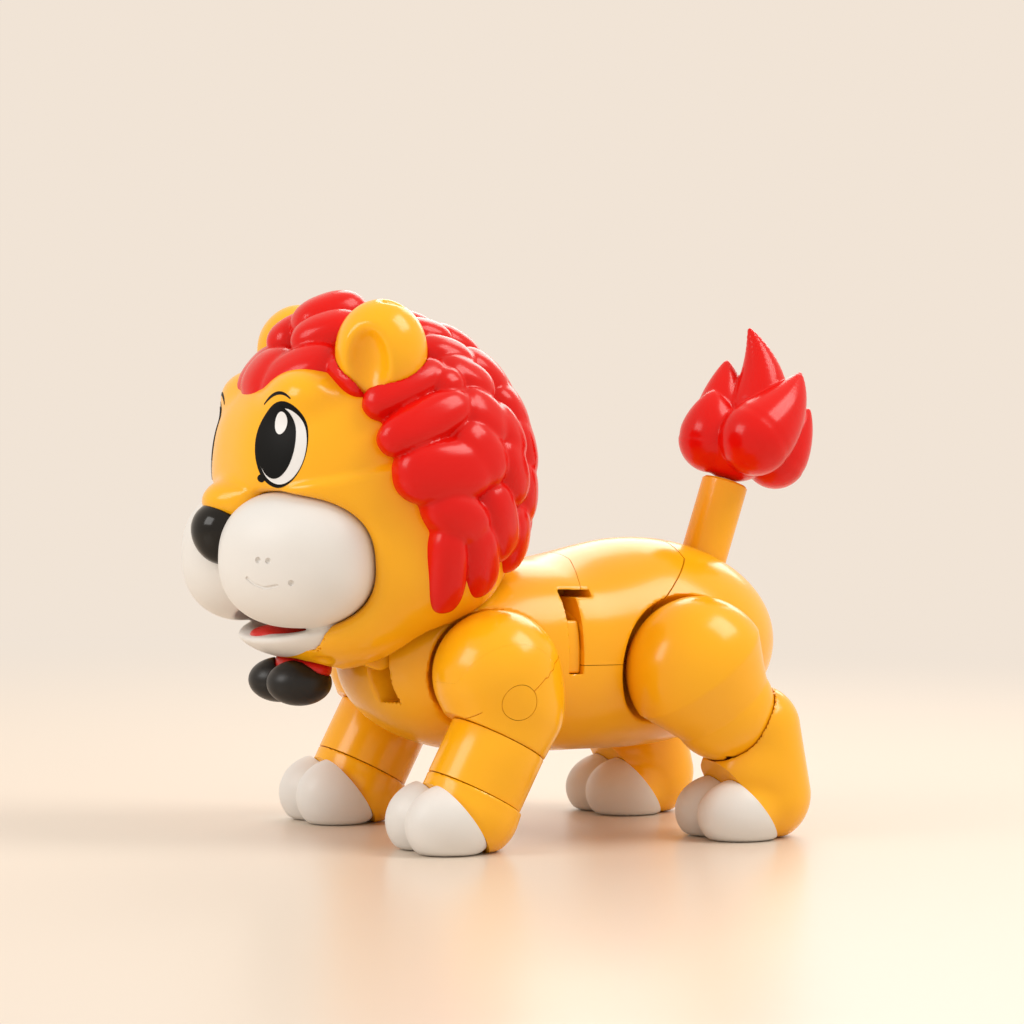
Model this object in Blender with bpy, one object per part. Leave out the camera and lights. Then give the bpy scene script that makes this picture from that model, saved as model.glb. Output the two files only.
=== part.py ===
"""Posable toy lion: moulded shells on a spine frame, with hinged legs, a nodding head and a turning tail.

Units are metres. The lion faces -Y, its left side is +X, and its soles stand on z = 0.
"""

import math

import bmesh
import bpy
import numpy as np
from mathutils import Matrix, Vector

# Fits and mesh density
GAP = 0.0003
SWEEP_GAP = 0.0011
WALL = 0.0020
SEGMENTS = 14
RINGS = 8
HEAD_SEGMENTS = 16
HEAD_RINGS = 10
LOBE_SEGMENTS = 8
LOBE_RINGS = 5
ROD_SEGMENTS = 14
PIN_SEGMENTS = 8
PIN_LIMIT = 0.0030
FACET_TURN = math.radians(3.7)
HULL_MERGE = 0.00002
BEYOND = 0.2

# Torso shells
CHEST_FRONT_Y = -0.0460
CHEST_Z = 0.0420
WITHERS_Y = -0.0190
WITHERS_Z = 0.0650
SADDLE_Y = 0.0170
SADDLE_Z = 0.0684
CROUP_Y = 0.0390
CROUP_Z = 0.0721
RUMP_REAR_Y = 0.0705
RUMP_Z = 0.0460
BELLY_Z = 0.0190
TORSO_HALF_WIDTH = 0.0300
TORSO_UPPER_POWER = 2.2
TORSO_LOWER_POWER = 1.8
TORSO_RINGS = 14
TORSO_SIDES = 24
SADDLE_LOWER_Z = 0.0420
SADDLE_LEAD = 0.0040
SADDLE_SHOULDER = 0.0030
SADDLE_DROP = 0.0020
RUMP_CORNER_DROP = 0.0055
RUMP_LEAD = 0.0085
RUMP_SOCKET_SHARE = 0.85
RUMP_UNDERCUT = 0.0200
RUMP_UNDER_DROP = 0.0050
# How far each end section lies from its driving sizes: along, below, above, and in from the half width
CHEST_SECTIONS = (
    (0.0000, 0.0040, 0.0040, 0.0240),
    (0.0040, 0.0115, 0.0115, 0.0130),
    (0.0130, 0.0165, 0.0180, 0.0050),
)
RUMP_SECTIONS = (
    (0.0160, 0.0185, 0.0231, 0.0048),
    (0.0056, 0.0110, 0.0150, 0.0118),
    (0.0000, 0.0040, 0.0040, 0.0240),
)
WITHERS_TUCK = (0.0030, 0.0008)
CROUP_TUCK = (0.0030, 0.0014)

# Side latch and its slot
SLOT_FRONT_Y = -0.0010
SLOT_WIDTH = 0.0033
SLOT_BOTTOM_Z = 0.0400
SLOT_TOP_Z = 0.0596
SLOT_ARM_LENGTH = 0.0045
SLOT_ARM_HEIGHT = 0.0018
LATCH_HEIGHT = 0.0125
LATCH_RECESS = 0.0014
LATCH_FLANGE = 0.0024
LATCH_LIP = 0.0022

# Front legs
SHOULDER_X = 0.0310
SHOULDER_Y = -0.0184
SHOULDER_Z = 0.0405
SHOULDER_RADIUS = 0.0150
SHOULDER_SWING = (-15.0, 10.0)
ARM_INNER_X = 0.0165
ARM_PLATE = 0.0038
ELBOW_Y = -0.0192
ELBOW_Z = 0.0350
ELBOW_RADIUS = 0.0120
ELBOW_BEND = (-18.0, 10.0)
ELBOW_PLAY = 0.00045
ELBOW_LIFT = 0.0040
ELBOW_PIN_RADIUS = 0.0025
ELBOW_CAP_RADIUS = 0.0041
ELBOW_CAP_DEPTH = 0.0030
FOREARM_X = 0.0325
FOREARM_RING_Y = -0.0185
FOREARM_RING_Z = 0.0255
FOREARM_LEAN = math.radians(26.6)
FOREARM_RADIUS = 0.0116
FOREARM_LENGTH = 0.0134
KNUCKLE_STEM = 0.0075
SPIGOT_RADIUS = 0.0050
SPIGOT_LENGTH = 0.0055
CUFF_RADIUS = 0.0124

# Front paws
PAW_CENTRE_Y = -0.0250
PAW_CENTRE_Z = 0.0078
PAW_RADII = (0.0126, 0.0120, 0.0090)
FRONT_TOE_Y = -0.0334
FRONT_TOE_Z = 0.0068
FRONT_TOE_RADII = (0.0080, 0.0116, 0.0094)
FRONT_TOE_SEAM_Y = -0.0369
FRONT_TOE_SEAM_Z = 0.0168
TOE_SPACING = 0.0112
TOE_SEAM_SLOPE = math.radians(38.0)

# Hind legs
HIP_X = 0.0310
HIP_Y = 0.0350
HIP_Z = 0.0405
HIP_RADIUS = 0.0178
HIP_HALF_WIDTH = 0.0152
HIP_SWING = (-12.0, 12.0)
THIGH_INNER_X = 0.0165
KNEE_Y = 0.0418
KNEE_Z = 0.0318
KNEE_RADIUS = 0.0130
KNEE_HALF_WIDTH = 0.0122
KNEE_BEND = (-14.0, 14.0)
KNEE_TONGUE_RADIUS = 0.0085
KNEE_TONGUE_HALF = 0.0040
KNEE_PIN_RADIUS = 0.0020
KNEE_COVER = 0.0030
KNEE_SLOT_REACH = 2.2
SHIN_X = 0.0320
SHIN_TOP_Y = 0.0508
SHIN_TOP_Z = 0.0255
SHIN_TOP_RADII = (0.0106, 0.0106, 0.0092)
HEEL_Y = 0.0535
HEEL_Z = 0.0095
HEEL_RADII = (0.0114, 0.0117, 0.0112)
FOOT_Y = 0.0450
FOOT_Z = 0.0066
FOOT_RADII = (0.0126, 0.0098, 0.0084)
HIND_TOE_Y = 0.0424
HIND_TOE_Z = 0.0062
HIND_TOE_RADII = (0.0080, 0.0114, 0.0090)
HIND_TOE_SEAM_Y = 0.0394
HIND_TOE_SEAM_Z = 0.0152

# Axles, washers and spine frame
AXLE_RADIUS = 0.0020
HIP_AXLE_DEPTH = 0.0085
WASHER_RADIUS = 0.0060
WASHER_THICKNESS = 0.0018
FRAME_HALF_WIDTH = 0.0050
FRAME_HEIGHT = 0.0080
FRAME_BOSS_RADIUS = 0.0055
POST_RADIUS = 0.0040
POST_LIFT = 0.0016
SCREW_RADIUS = 0.0013
SCREW_HEAD_RADIUS = 0.0026
SCREW_HEAD_DEPTH = 0.0016
SCREW_LENGTH = 0.0090
FRONT_SCREW_Y = -0.0060
REAR_SCREW_Y = 0.0220

# Neck yoke and nod axis
NOD_Y = -0.0240
NOD_Z = 0.0500
NOD_RANGE = (-7.0, 7.0)
NECK_RADIUS = 0.0265
YOKE_BAR_RADIUS = 0.0034
YOKE_ARM_X = 0.0170
YOKE_ARM_HALF = 0.0020
YOKE_ARM_RADIUS = 0.0026
YOKE_TIP_Y = -0.0512
YOKE_TIP_Z = 0.0470
YOKE_BEND_Y = -0.0420
YOKE_BEND_Z = 0.0390
CHEST_SLOT_HALF = 0.0028

# Head
CRANIUM_Y = -0.0400
CRANIUM_Z = 0.0860
CRANIUM_RADII = (0.0335, 0.0355, 0.0300)
JOWL_Y = -0.0350
JOWL_Z = 0.0665
JOWL_RADII = (0.0345, 0.0280, 0.0230)
CHIN_Y = -0.0465
CHIN_Z = 0.0525
CHIN_RADII = (0.0270, 0.0170, 0.0112)
SNOUT_Y = -0.0665
SNOUT_Z = 0.0790
SNOUT_RADII = (0.0110, 0.0105, 0.0065)
HEAD_WALL = 0.0024
CHEEK_X = 0.0120
CHEEK_Y = -0.0610
CHEEK_Z = 0.0660
CHEEK_RADII = (0.0176, 0.0176, 0.0155)
LIP_Y = -0.0570
LIP_Z = 0.0487
LIP_RADII = (0.0225, 0.0136, 0.0064)
MOUTH_Y = -0.0610
MOUTH_Z = 0.0530
MOUTH_RADII = (0.0160, 0.0115, 0.0055)
NOSE_Y = -0.0758
NOSE_Z = 0.0728
NOSE_RADII = (0.0074, 0.0064, 0.0072)
TONGUE_Y = -0.0580
TONGUE_Z = 0.0500
TONGUE_RADII = (0.0080, 0.0105, 0.0026)
EAR_X = 0.0245
EAR_Y = -0.0460
EAR_Z = 0.1148
EAR_RADII = (0.0098, 0.0108, 0.0120)
EAR_SCOOP = 0.0072
HEAD_SCREW_X = 0.0120
HEAD_SCREW_Z = 0.0930

# Mane
MANE_Y = -0.0360
MANE_Z = 0.0860
MANE_RADII = (0.0420, 0.0380, 0.0400)
MANE_SKIRT = 0.0540
MANE_CAP_DEPTH = 0.0044
MANE_TILT = math.radians(23.0)
MANE_FRONT_Y = -0.0430
LOCK_THICKNESS = (0.62, 0.0022)
# Locks on the left, and their mirror images: x, y, z, half length, half width, lean in degrees, rise.
SIDE_LOCKS = (
    (0.0335, -0.0445, 0.1085, 0.0115, 0.0053, 24.0, 0.0),
    (0.0390, -0.0410, 0.0995, 0.0124, 0.0056, 26.0, 0.0),
    (0.0420, -0.0375, 0.0875, 0.0125, 0.0080, 4.0, 0.0),
    (0.0410, -0.0335, 0.0765, 0.0090, 0.0060, -30.0, 0.0),
    (0.0385, -0.0350, 0.0640, 0.0105, 0.0050, -84.0, 0.0),
    (0.0370, -0.0245, 0.0660, 0.0105, 0.0056, -72.0, 0.0),
    (0.0360, -0.0180, 0.0750, 0.0105, 0.0062, -66.0, 0.0),
    (0.0400, -0.0265, 0.0925, 0.0092, 0.0070, -46.0, 0.0),
    (0.0360, -0.0235, 0.1020, 0.0086, 0.0068, -30.0, 0.0),
    (0.0300, -0.0255, 0.1115, 0.0086, 0.0056, -16.0, 0.0),
    (0.0245, -0.0280, 0.1175, 0.0082, 0.0054, -8.0, 0.0),
    (0.0155, -0.0300, 0.1225, 0.0076, 0.0052, 0.0, 0.0),
    (0.0325, -0.0145, 0.0975, 0.0088, 0.0060, -44.0, 0.0),
    (0.0340, -0.0135, 0.0880, 0.0094, 0.0060, -58.0, 0.0),
    (0.0240, -0.0545, 0.1120, 0.0064, 0.0050, 35.0, 0.0),
    (0.0105, -0.0550, 0.1185, 0.0084, 0.0064, 20.0, 0.0008),
    (0.0210, -0.0140, 0.1140, 0.0086, 0.0064, -10.0, 0.0),
    (0.0240, -0.0055, 0.1045, 0.0088, 0.0064, -28.0, 0.0),
    (0.0240, -0.0040, 0.0940, 0.0094, 0.0066, -50.0, 0.0),
    (0.0250, -0.0045, 0.0820, 0.0094, 0.0064, -70.0, 0.0),
    (0.0270, -0.0085, 0.0710, 0.0090, 0.0062, -80.0, 0.0),
    (0.0090, -0.0380, 0.1250, 0.0084, 0.0058, 0.0, 0.0),
    (0.0090, -0.0180, 0.1210, 0.0086, 0.0062, 0.0, 0.0),
    (0.0100, -0.0050, 0.1110, 0.0088, 0.0064, 0.0, 0.0),
    (0.0090, 0.0010, 0.0995, 0.0090, 0.0064, 0.0, 0.0),
    (0.0090, 0.0020, 0.0870, 0.0090, 0.0062, 0.0, 0.0),
    (0.0100, 0.0010, 0.0750, 0.0090, 0.0060, 0.0, 0.0),
)
MIDDLE_LOCKS = (
    (0.0, -0.0610, 0.1120, 0.0102, 0.0084, 0.0, 0.0008),
    (0.0, -0.0470, 0.1255, 0.0090, 0.0070, 0.0, 0.0040),
    (0.0, -0.0280, 0.1250, 0.0080, 0.0056, 0.0, 0.0),
)
MANE_CLEARANCE = 0.0036

# Folded helmet under the chin
HELMET_X = 0.0062
HELMET_Y = -0.0590
HELMET_Z = 0.0400
HELMET_RADII = (0.0078, 0.0090, 0.0072)
BAND_Y = -0.0565
BAND_Z = 0.0412
BAND_RADII = (0.0118, 0.0075, 0.0059)
HELMET_PIN_Y = -0.0510
HELMET_PIN_Z = 0.0445
HELMET_PIN_RADIUS = 0.0012
HELMET_KNUCKLE = 0.0026
HELMET_FOLD = (0.0, 20.0)

# Tail
TAIL_BASE_Y = 0.0542
TAIL_BASE_Z = 0.0695
TAIL_LEAN = math.radians(17.4)
TAIL_RADIUS = 0.0058
TAIL_LENGTH = 0.0165
TAIL_ROOT = 0.0120
COLLAR_RADIUS = 0.0085
COLLAR_THICKNESS = 0.0030
TUFT_RISE = 0.0305
TUFT_LOBES = 6
TUFT_LOBE_RADIUS = 0.0098
TUFT_SPREAD = 0.0108
TUFT_TIP_RISE = 0.0155
TUFT_TIP_SPREAD = 0.0090
TUFT_CROWN_RISE = 0.0235

YELLOW = (0.90, 0.45, 0.02)
RED = (0.80, 0.03, 0.02)
WHITE = (0.88, 0.87, 0.85)
BLACK = (0.02, 0.02, 0.02)
STEEL = (0.60, 0.60, 0.62)
GREY = (0.30, 0.30, 0.32)


class Pivot:
    """An empty on a joint axis that carries the pieces turning about it."""

    def __init__(self, name, point, parent=None):
        self.point = Vector(point)
        self.empty = bpy.data.objects.new(name, None)
        bpy.context.scene.collection.objects.link(self.empty)
        self.empty.location = self.point
        if parent is not None:
            self.empty.parent = parent.empty
            self.empty.location = self.point - parent.point

    def carry(self, piece):
        """Hang a piece on this pivot, with the piece's origin on the pivot's point."""
        piece.data.transform(Matrix.Translation(-self.point))
        piece.parent = self.empty
        return piece


def clear_scene():
    for item in list(bpy.data.objects):
        bpy.data.objects.remove(item, do_unlink=True)


def add_ellipsoid(bm, centre, radii, grow=0.0, turn=None, segments=SEGMENTS, rings=RINGS, facet=0):
    """Add a closed ellipsoid, grown on every side, turned by a 3 x 3 matrix about its centre.

    facet shifts its facets round the pole, so that those of two joined forms don't fall on one line.
    """
    scale = Matrix.Diagonal((*(radius + grow for radius in radii), 1.0))
    spin = turn.to_4x4() if turn is not None else Matrix.Identity(4)
    matrix = Matrix.Translation(centre) @ spin @ scale @ Matrix.Rotation(facet * FACET_TURN, 4, "Z")
    bmesh.ops.create_uvsphere(bm, u_segments=segments, v_segments=rings, radius=1.0, matrix=matrix)


def add_rod(bm, start, end, radius):
    """Add a closed round rod between two points, with fewer sides where it is as slim as a pin."""
    segments = PIN_SEGMENTS if radius < PIN_LIMIT else ROD_SEGMENTS
    start = Vector(start)
    axis = Vector(end) - start
    matrix = Matrix.Translation(start + axis / 2) @ axis.to_track_quat("Z", "Y").to_matrix().to_4x4()
    bmesh.ops.create_cone(
        bm, cap_ends=True, segments=segments, radius1=radius, radius2=radius, depth=axis.length, matrix=matrix
    )


def add_box(bm, low, high):
    """Add a box between its lowest and highest corners."""
    low = Vector(low)
    size = Vector(high) - low
    matrix = Matrix.Translation(low + size / 2) @ Matrix.Diagonal((*size, 1.0))
    bmesh.ops.create_cube(bm, size=1.0, matrix=matrix)


def add_prism(bm, outline, x_low, x_high):
    """Add a prism along X over an outline of (y, z) points."""
    face = bm.faces.new([bm.verts.new((x_low, y, z)) for y, z in outline])
    moved = bmesh.ops.extrude_face_region(bm, geom=[face])
    verts = [item for item in moved["geom"] if isinstance(item, bmesh.types.BMVert)]
    bmesh.ops.translate(bm, verts=verts, vec=(x_high - x_low, 0.0, 0.0))


def hull(bm):
    """Replace what is in bm by its convex hull."""
    points = [vert.co.copy() for vert in bm.verts]
    bm.clear()
    for point in points:
        bm.verts.new(point)
    bmesh.ops.remove_doubles(bm, verts=bm.verts[:], dist=HULL_MERGE)
    bmesh.ops.convex_hull(bm, input=bm.verts[:])
    bmesh.ops.delete(bm, geom=[vert for vert in bm.verts if not vert.link_faces], context="VERTS")


def to_object(name, bm):
    mesh = bpy.data.meshes.new(name)
    bmesh.ops.recalc_face_normals(bm, faces=bm.faces)
    bm.to_mesh(mesh)
    bm.free()
    made = bpy.data.objects.new(name, mesh)
    bpy.context.scene.collection.objects.link(made)
    return made


def piece(name, bm, colour, roughness=0.3, metallic=0.0):
    """Make a named sub-part with its own material, shaded smooth."""
    made = to_object(name, bm)
    material = bpy.data.materials.new(name)
    material.use_nodes = True
    shader = material.node_tree.nodes["Principled BSDF"]
    shader.inputs["Base Color"].default_value = (*colour, 1.0)
    shader.inputs["Roughness"].default_value = roughness
    shader.inputs["Metallic"].default_value = metallic
    made.data.materials.append(material)
    made.data.shade_smooth()
    return made


def guide(name, bm):
    """Make a hidden shape that only cuts or joins other pieces."""
    made = to_object(name, bm)
    made.hide_render = True
    made.display_type = "WIRE"
    return made


def guide_group(name, guides):
    """Gather guides in a collection that one Boolean can use."""
    group = bpy.data.collections.new(name)
    group.hide_render = True
    bpy.context.scene.collection.children.link(group)
    for item in guides:
        group.objects.link(item)
    return group


def combine(target, operation, tool, solver):
    """Add a Boolean of the target with a guide or a group of guides."""
    modifier = target.modifiers.new(tool.name, "BOOLEAN")
    modifier.operation = operation
    modifier.solver = solver
    if isinstance(tool, bpy.types.Collection):
        modifier.operand_type = "COLLECTION"
        modifier.collection = tool
    else:
        modifier.object = tool


def cut(target, *tools, solver="EXACT"):
    for tool in tools:
        combine(target, "DIFFERENCE", tool, solver)


def join(target, *tools, solver="EXACT"):
    for tool in tools:
        combine(target, "UNION", tool, solver)


def keep(target, *tools, solver="EXACT"):
    for tool in tools:
        combine(target, "INTERSECT", tool, solver)


def ellipsoid_guide(name, centre, radii, grow=0.0, facet=1, segments=SEGMENTS, rings=RINGS):
    bm = bmesh.new()
    add_ellipsoid(bm, centre, radii, grow, None, segments, rings, facet)
    return guide(name, bm)


def rod_guide(name, start, end, radius):
    bm = bmesh.new()
    add_rod(bm, start, end, radius)
    return guide(name, bm)


def box_guide(name, low, high):
    bm = bmesh.new()
    add_box(bm, low, high)
    return guide(name, bm)


def prism_guide(name, outline, x_low, x_high):
    bm = bmesh.new()
    add_prism(bm, outline, x_low, x_high)
    return guide(name, bm)


def turned(item, name, pivot, degrees):
    """Copy a guide, turned about an X axis through pivot."""
    copy = item.copy()
    copy.data = item.data.copy()
    copy.name = name
    spin = Matrix.Rotation(math.radians(degrees), 4, "X")
    copy.data.transform(Matrix.Translation(pivot) @ spin @ Matrix.Translation(-Vector(pivot)))
    bpy.context.scene.collection.objects.link(copy)
    return copy


def offset_outline(outline, distance):
    """Move each edge of a closed (y, z) outline outwards by distance, and meet them again at the corners."""
    count = len(outline)
    area = sum(
        outline[i][0] * outline[(i + 1) % count][1] - outline[(i + 1) % count][0] * outline[i][1]
        for i in range(count)
    )
    sign = 1.0 if area > 0 else -1.0
    moved = []
    for i in range(count):
        before, here, after = (Vector(outline[(i + step) % count]) for step in (-1, 0, 1))
        first = (here - before).normalized()
        second = (after - here).normalized()
        normal_a = Vector((first.y, -first.x)) * sign
        normal_b = Vector((second.y, -second.x)) * sign
        mitre = (normal_a + normal_b) / (1.0 + normal_a.dot(normal_b))
        moved.append(tuple(here + mitre * distance))
    return moved


def torso_stations():
    """The torso's y, bottom, top and half width, from chest to rump."""
    wide = TORSO_HALF_WIDTH
    chest = [
        (CHEST_FRONT_Y + along, CHEST_Z - below, CHEST_Z + above, wide - inward)
        for along, below, above, inward in CHEST_SECTIONS
    ]
    rump = [
        (RUMP_REAR_Y - along, RUMP_Z - below, RUMP_Z + above, wide - inward)
        for along, below, above, inward in RUMP_SECTIONS
    ]
    back = [
        (WITHERS_Y, BELLY_Z + WITHERS_TUCK[0], WITHERS_Z, wide - WITHERS_TUCK[1]),
        ((WITHERS_Y + SADDLE_Y) / 2, BELLY_Z, (WITHERS_Z + SADDLE_Z) / 2, wide),
        (SADDLE_Y, BELLY_Z, SADDLE_Z, wide),
        (CROUP_Y, BELLY_Z + CROUP_TUCK[0], CROUP_Z, wide - CROUP_TUCK[1]),
    ]
    return np.array(chest + back + rump)


def torso_table(samples=240):
    """The stations joined by a smooth curve, sampled from chest to rump."""
    stations = torso_stations()
    padded = np.vstack((2 * stations[0] - stations[1], stations, 2 * stations[-1] - stations[-2]))
    rows = []
    for u in np.linspace(0.0, len(stations) - 1.0001, samples):
        i = int(u)
        t = u - i
        p0, p1, p2, p3 = padded[i:i + 4]
        rows.append(0.5 * (2 * p1 + (p2 - p0) * t + (2 * p0 - 5 * p1 + 4 * p2 - p3) * t ** 2
                           + (3 * p1 - p0 - 3 * p2 + p3) * t ** 3))
    return np.array(rows)


def torso_section(table, y):
    """Height of the centre, half height and half width of the torso at y."""
    bottom, top, half = (float(np.interp(y, table[:, 0], table[:, column])) for column in (1, 2, 3))
    return (bottom + top) / 2, (top - bottom) / 2, half


def torso_half_width(table, y, z):
    """Half width of the torso's outside at y and z."""
    centre, tall, half = torso_section(table, y)
    share = min(abs(z - centre) / tall, 1.0)
    power = TORSO_UPPER_POWER if z > centre else TORSO_LOWER_POWER
    return half * (1.0 - share ** power) ** (1.0 / power)


def torso_mesh(table, inset=0.0):
    """The torso as a closed loft of rounded rings, drawn in by inset on every side."""
    bm = bmesh.new()
    front = table[0, 0] + inset
    rear = table[-1, 0] - inset
    rings = []
    for i in range(TORSO_RINGS):
        y = (front + rear) / 2 - (rear - front) / 2 * math.cos(math.pi * i / (TORSO_RINGS - 1))
        centre, tall, half = torso_section(table, y)
        ring = []
        for k in range(TORSO_SIDES):
            angle = math.tau * k / TORSO_SIDES
            power = 2.0 / (TORSO_UPPER_POWER if math.sin(angle) > 0 else TORSO_LOWER_POWER)
            x = math.copysign(abs(math.cos(angle)) ** power, math.cos(angle)) * (half - inset)
            z = math.copysign(abs(math.sin(angle)) ** power, math.sin(angle)) * (tall - inset)
            ring.append(bm.verts.new((x, y, centre + z)))
        rings.append(ring)
    for ring, following in zip(rings, rings[1:]):
        for k in range(TORSO_SIDES):
            n = (k + 1) % TORSO_SIDES
            bm.faces.new((ring[k], ring[n], following[n], following[k]))
    bm.faces.new(rings[0])
    bm.faces.new(rings[-1])
    return bm


def mirrored(point, side):
    """The point on the lion's left (side 1) or right (side -1)."""
    return Vector((point[0] * side, point[1], point[2]))


def forearm_axis():
    """Direction of the forearm, from elbow to paw."""
    return Vector((0.0, -math.sin(FOREARM_LEAN), -math.cos(FOREARM_LEAN)))


def side_rod(name, side, x_from, x_to, y, z, radius):
    """A guide rod along X on one side of the lion."""
    return rod_guide(name, (x_from * side, y, z), (x_to * side, y, z), radius)


def front_leg(side, label, torso):
    """Upper arm, elbow pin, knuckle, forearm, paw and toes of one front leg."""
    reach = SHOULDER_X + SHOULDER_RADIUS + WALL
    shoulder = Pivot(f"shoulder_{label}", (SHOULDER_X * side, SHOULDER_Y, SHOULDER_Z), torso)
    elbow = Pivot(f"elbow_{label}", (SHOULDER_X * side, ELBOW_Y, ELBOW_Z), shoulder)
    ring = Vector((FOREARM_X * side, FOREARM_RING_Y, FOREARM_RING_Z))
    axis = forearm_axis()
    wrist = Pivot(f"forearm_swivel_{label}", ring, elbow)
    plate_x = ARM_INNER_X + ARM_PLATE
    bulb_radii = (SHOULDER_RADIUS,) * 3

    bm = bmesh.new()
    add_ellipsoid(bm, shoulder.point, bulb_radii)
    arm = piece(f"upper_arm_{label}", bm, YELLOW)
    low_x, high_x = sorted((0.0, ARM_INNER_X * side))
    far_low, far_high = sorted((plate_x * side, reach * side))
    cut(
        arm,
        box_guide(f"arm_flat_{label}", (low_x, -BEYOND, -BEYOND), (high_x, BEYOND, BEYOND)),
        side_rod(f"arm_barrel_{label}", side, plate_x, reach, ELBOW_Y, ELBOW_Z, ELBOW_RADIUS + ELBOW_PLAY),
        box_guide(
            f"arm_under_{label}", (far_low, -BEYOND, -BEYOND), (far_high, BEYOND, ELBOW_Z + ELBOW_LIFT)
        ),
        side_rod(f"arm_axle_{label}", side, 0.0, plate_x + GAP, SHOULDER_Y, SHOULDER_Z, AXLE_RADIUS + GAP),
        side_rod(f"arm_pin_{label}", side, 0.0, plate_x + GAP, ELBOW_Y, ELBOW_Z, ELBOW_PIN_RADIUS + GAP),
    )
    shoulder.carry(arm)

    drop = math.hypot(SHOULDER_Y - ELBOW_Y, SHOULDER_Z - ELBOW_Z)
    cap_x = SHOULDER_X + math.sqrt(SHOULDER_RADIUS ** 2 - (drop + ELBOW_CAP_RADIUS / 2) ** 2)
    bm = bmesh.new()
    add_rod(bm, (ARM_INNER_X * side, ELBOW_Y, ELBOW_Z), (cap_x * side, ELBOW_Y, ELBOW_Z), ELBOW_PIN_RADIUS)
    pin = piece(f"elbow_pin_{label}", bm, YELLOW)
    head_x = cap_x - ELBOW_CAP_DEPTH
    join(pin, side_rod(f"pin_head_{label}", side, head_x, cap_x, ELBOW_Y, ELBOW_Z, ELBOW_CAP_RADIUS))
    shoulder.carry(pin)

    bm = bmesh.new()
    knuckle_x = plate_x + GAP
    add_rod(bm, (knuckle_x * side, ELBOW_Y, ELBOW_Z), (reach * side, ELBOW_Y, ELBOW_Z), ELBOW_RADIUS)
    knuckle = piece(f"elbow_knuckle_{label}", bm, YELLOW)
    keep(knuckle, ellipsoid_guide(f"knuckle_round_{label}", shoulder.point, bulb_radii))
    stem = ring - axis * KNUCKLE_STEM
    join(knuckle, rod_guide(f"knuckle_stem_{label}", stem, ring - axis * GAP, FOREARM_RADIUS))
    inner_low, inner_high = sorted((0.0, knuckle_x * side))
    cut(
        knuckle,
        box_guide(f"knuckle_flat_{label}", (inner_low, -BEYOND, -BEYOND), (inner_high, BEYOND, BEYOND)),
        side_rod(f"knuckle_bore_{label}", side, 0.0, reach, ELBOW_Y, ELBOW_Z, ELBOW_PIN_RADIUS + GAP),
        side_rod(
            f"knuckle_seat_{label}", side, head_x - GAP, reach, ELBOW_Y, ELBOW_Z, ELBOW_CAP_RADIUS + GAP
        ),
        rod_guide(f"knuckle_spigot_{label}", ring - axis * (SPIGOT_LENGTH + GAP), ring, SPIGOT_RADIUS + GAP),
        rod_guide(
            f"knuckle_end_{label}", ring - axis * GAP, ring + axis * ELBOW_RADIUS, FOREARM_RADIUS + ELBOW_RADIUS
        ),
    )
    elbow.carry(knuckle)

    cuff = ring + axis * FOREARM_LENGTH
    bm = bmesh.new()
    add_rod(bm, ring, cuff, FOREARM_RADIUS)
    forearm = piece(f"forearm_{label}", bm, YELLOW)
    spigot = axis * SPIGOT_LENGTH
    join(
        forearm,
        rod_guide(f"upper_spigot_{label}", ring - spigot, ring + spigot, SPIGOT_RADIUS),
        rod_guide(f"lower_spigot_{label}", cuff - spigot, cuff + spigot, SPIGOT_RADIUS),
    )
    wrist.carry(forearm)

    bm = bmesh.new()
    add_rod(bm, cuff + axis * GAP, cuff + axis * (GAP + WALL), CUFF_RADIUS)
    add_ellipsoid(bm, (FOREARM_X * side, PAW_CENTRE_Y, PAW_CENTRE_Z), PAW_RADII)
    hull(bm)
    paw = piece(f"front_paw_{label}", bm, YELLOW)
    toe_centre = Vector((FOREARM_X * side, FRONT_TOE_Y, FRONT_TOE_Z))
    seam = Vector((FOREARM_X * side, FRONT_TOE_SEAM_Y, FRONT_TOE_SEAM_Z))
    socket = rod_guide(f"paw_socket_{label}", cuff, cuff + axis * (SPIGOT_LENGTH + GAP), SPIGOT_RADIUS + GAP)
    toes = toe_cap(f"front_toes_{label}", toe_centre, FRONT_TOE_RADII, seam)
    trim_paw(paw, seam, label, "front")
    high = cuff - axis * FOREARM_LENGTH
    above = rod_guide(f"paw_top_{label}", high, cuff + axis * GAP, CUFF_RADIUS + PAW_RADII[1])
    cut(paw, above, socket)
    wrist.carry(paw)
    wrist.carry(toes)
    return shoulder


def seam_block(name, seam, forward, gap):
    """A large block in front of the toe seam's slanted plane, or behind it."""
    along = Vector((0.0, math.sin(TOE_SEAM_SLOPE), -math.cos(TOE_SEAM_SLOPE)))
    outward = Vector((0.0, -math.cos(TOE_SEAM_SLOPE), -math.sin(TOE_SEAM_SLOPE)))
    start = seam + outward * gap
    depth = outward * (BEYOND if forward else -BEYOND)
    run = along * BEYOND
    corners = [start + run, start - run, start - run + depth, start + run + depth]
    return prism_guide(name, [(point.y, point.z) for point in corners], seam.x - BEYOND, seam.x + BEYOND)


def floor_block(name):
    """Everything below the floor."""
    return box_guide(name, (-BEYOND, -BEYOND, -BEYOND), (BEYOND, BEYOND, 0.0))


def toe_cap(name, centre, radii, seam):
    """A white cap of two toes with a groove between them, cut by the toe seam and the floor."""
    bm = bmesh.new()
    half = Vector((TOE_SPACING / 2, 0.0, 0.0))
    add_ellipsoid(bm, centre - half, radii)
    toes = piece(name, bm, WHITE, roughness=0.45)
    join(toes, ellipsoid_guide(f"{name}_second", centre + half, radii))
    cut(toes, seam_block(f"{name}_back", seam, False, GAP), floor_block(f"{name}_floor"))
    return toes


def trim_paw(paw, seam, label, where):
    """Cut a paw back to the toe seam and flat at the floor."""
    ahead = seam_block(f"{where}_paw_seam_{label}", seam, True, 0.0)
    cut(paw, ahead, floor_block(f"{where}_paw_floor_{label}"))


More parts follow.
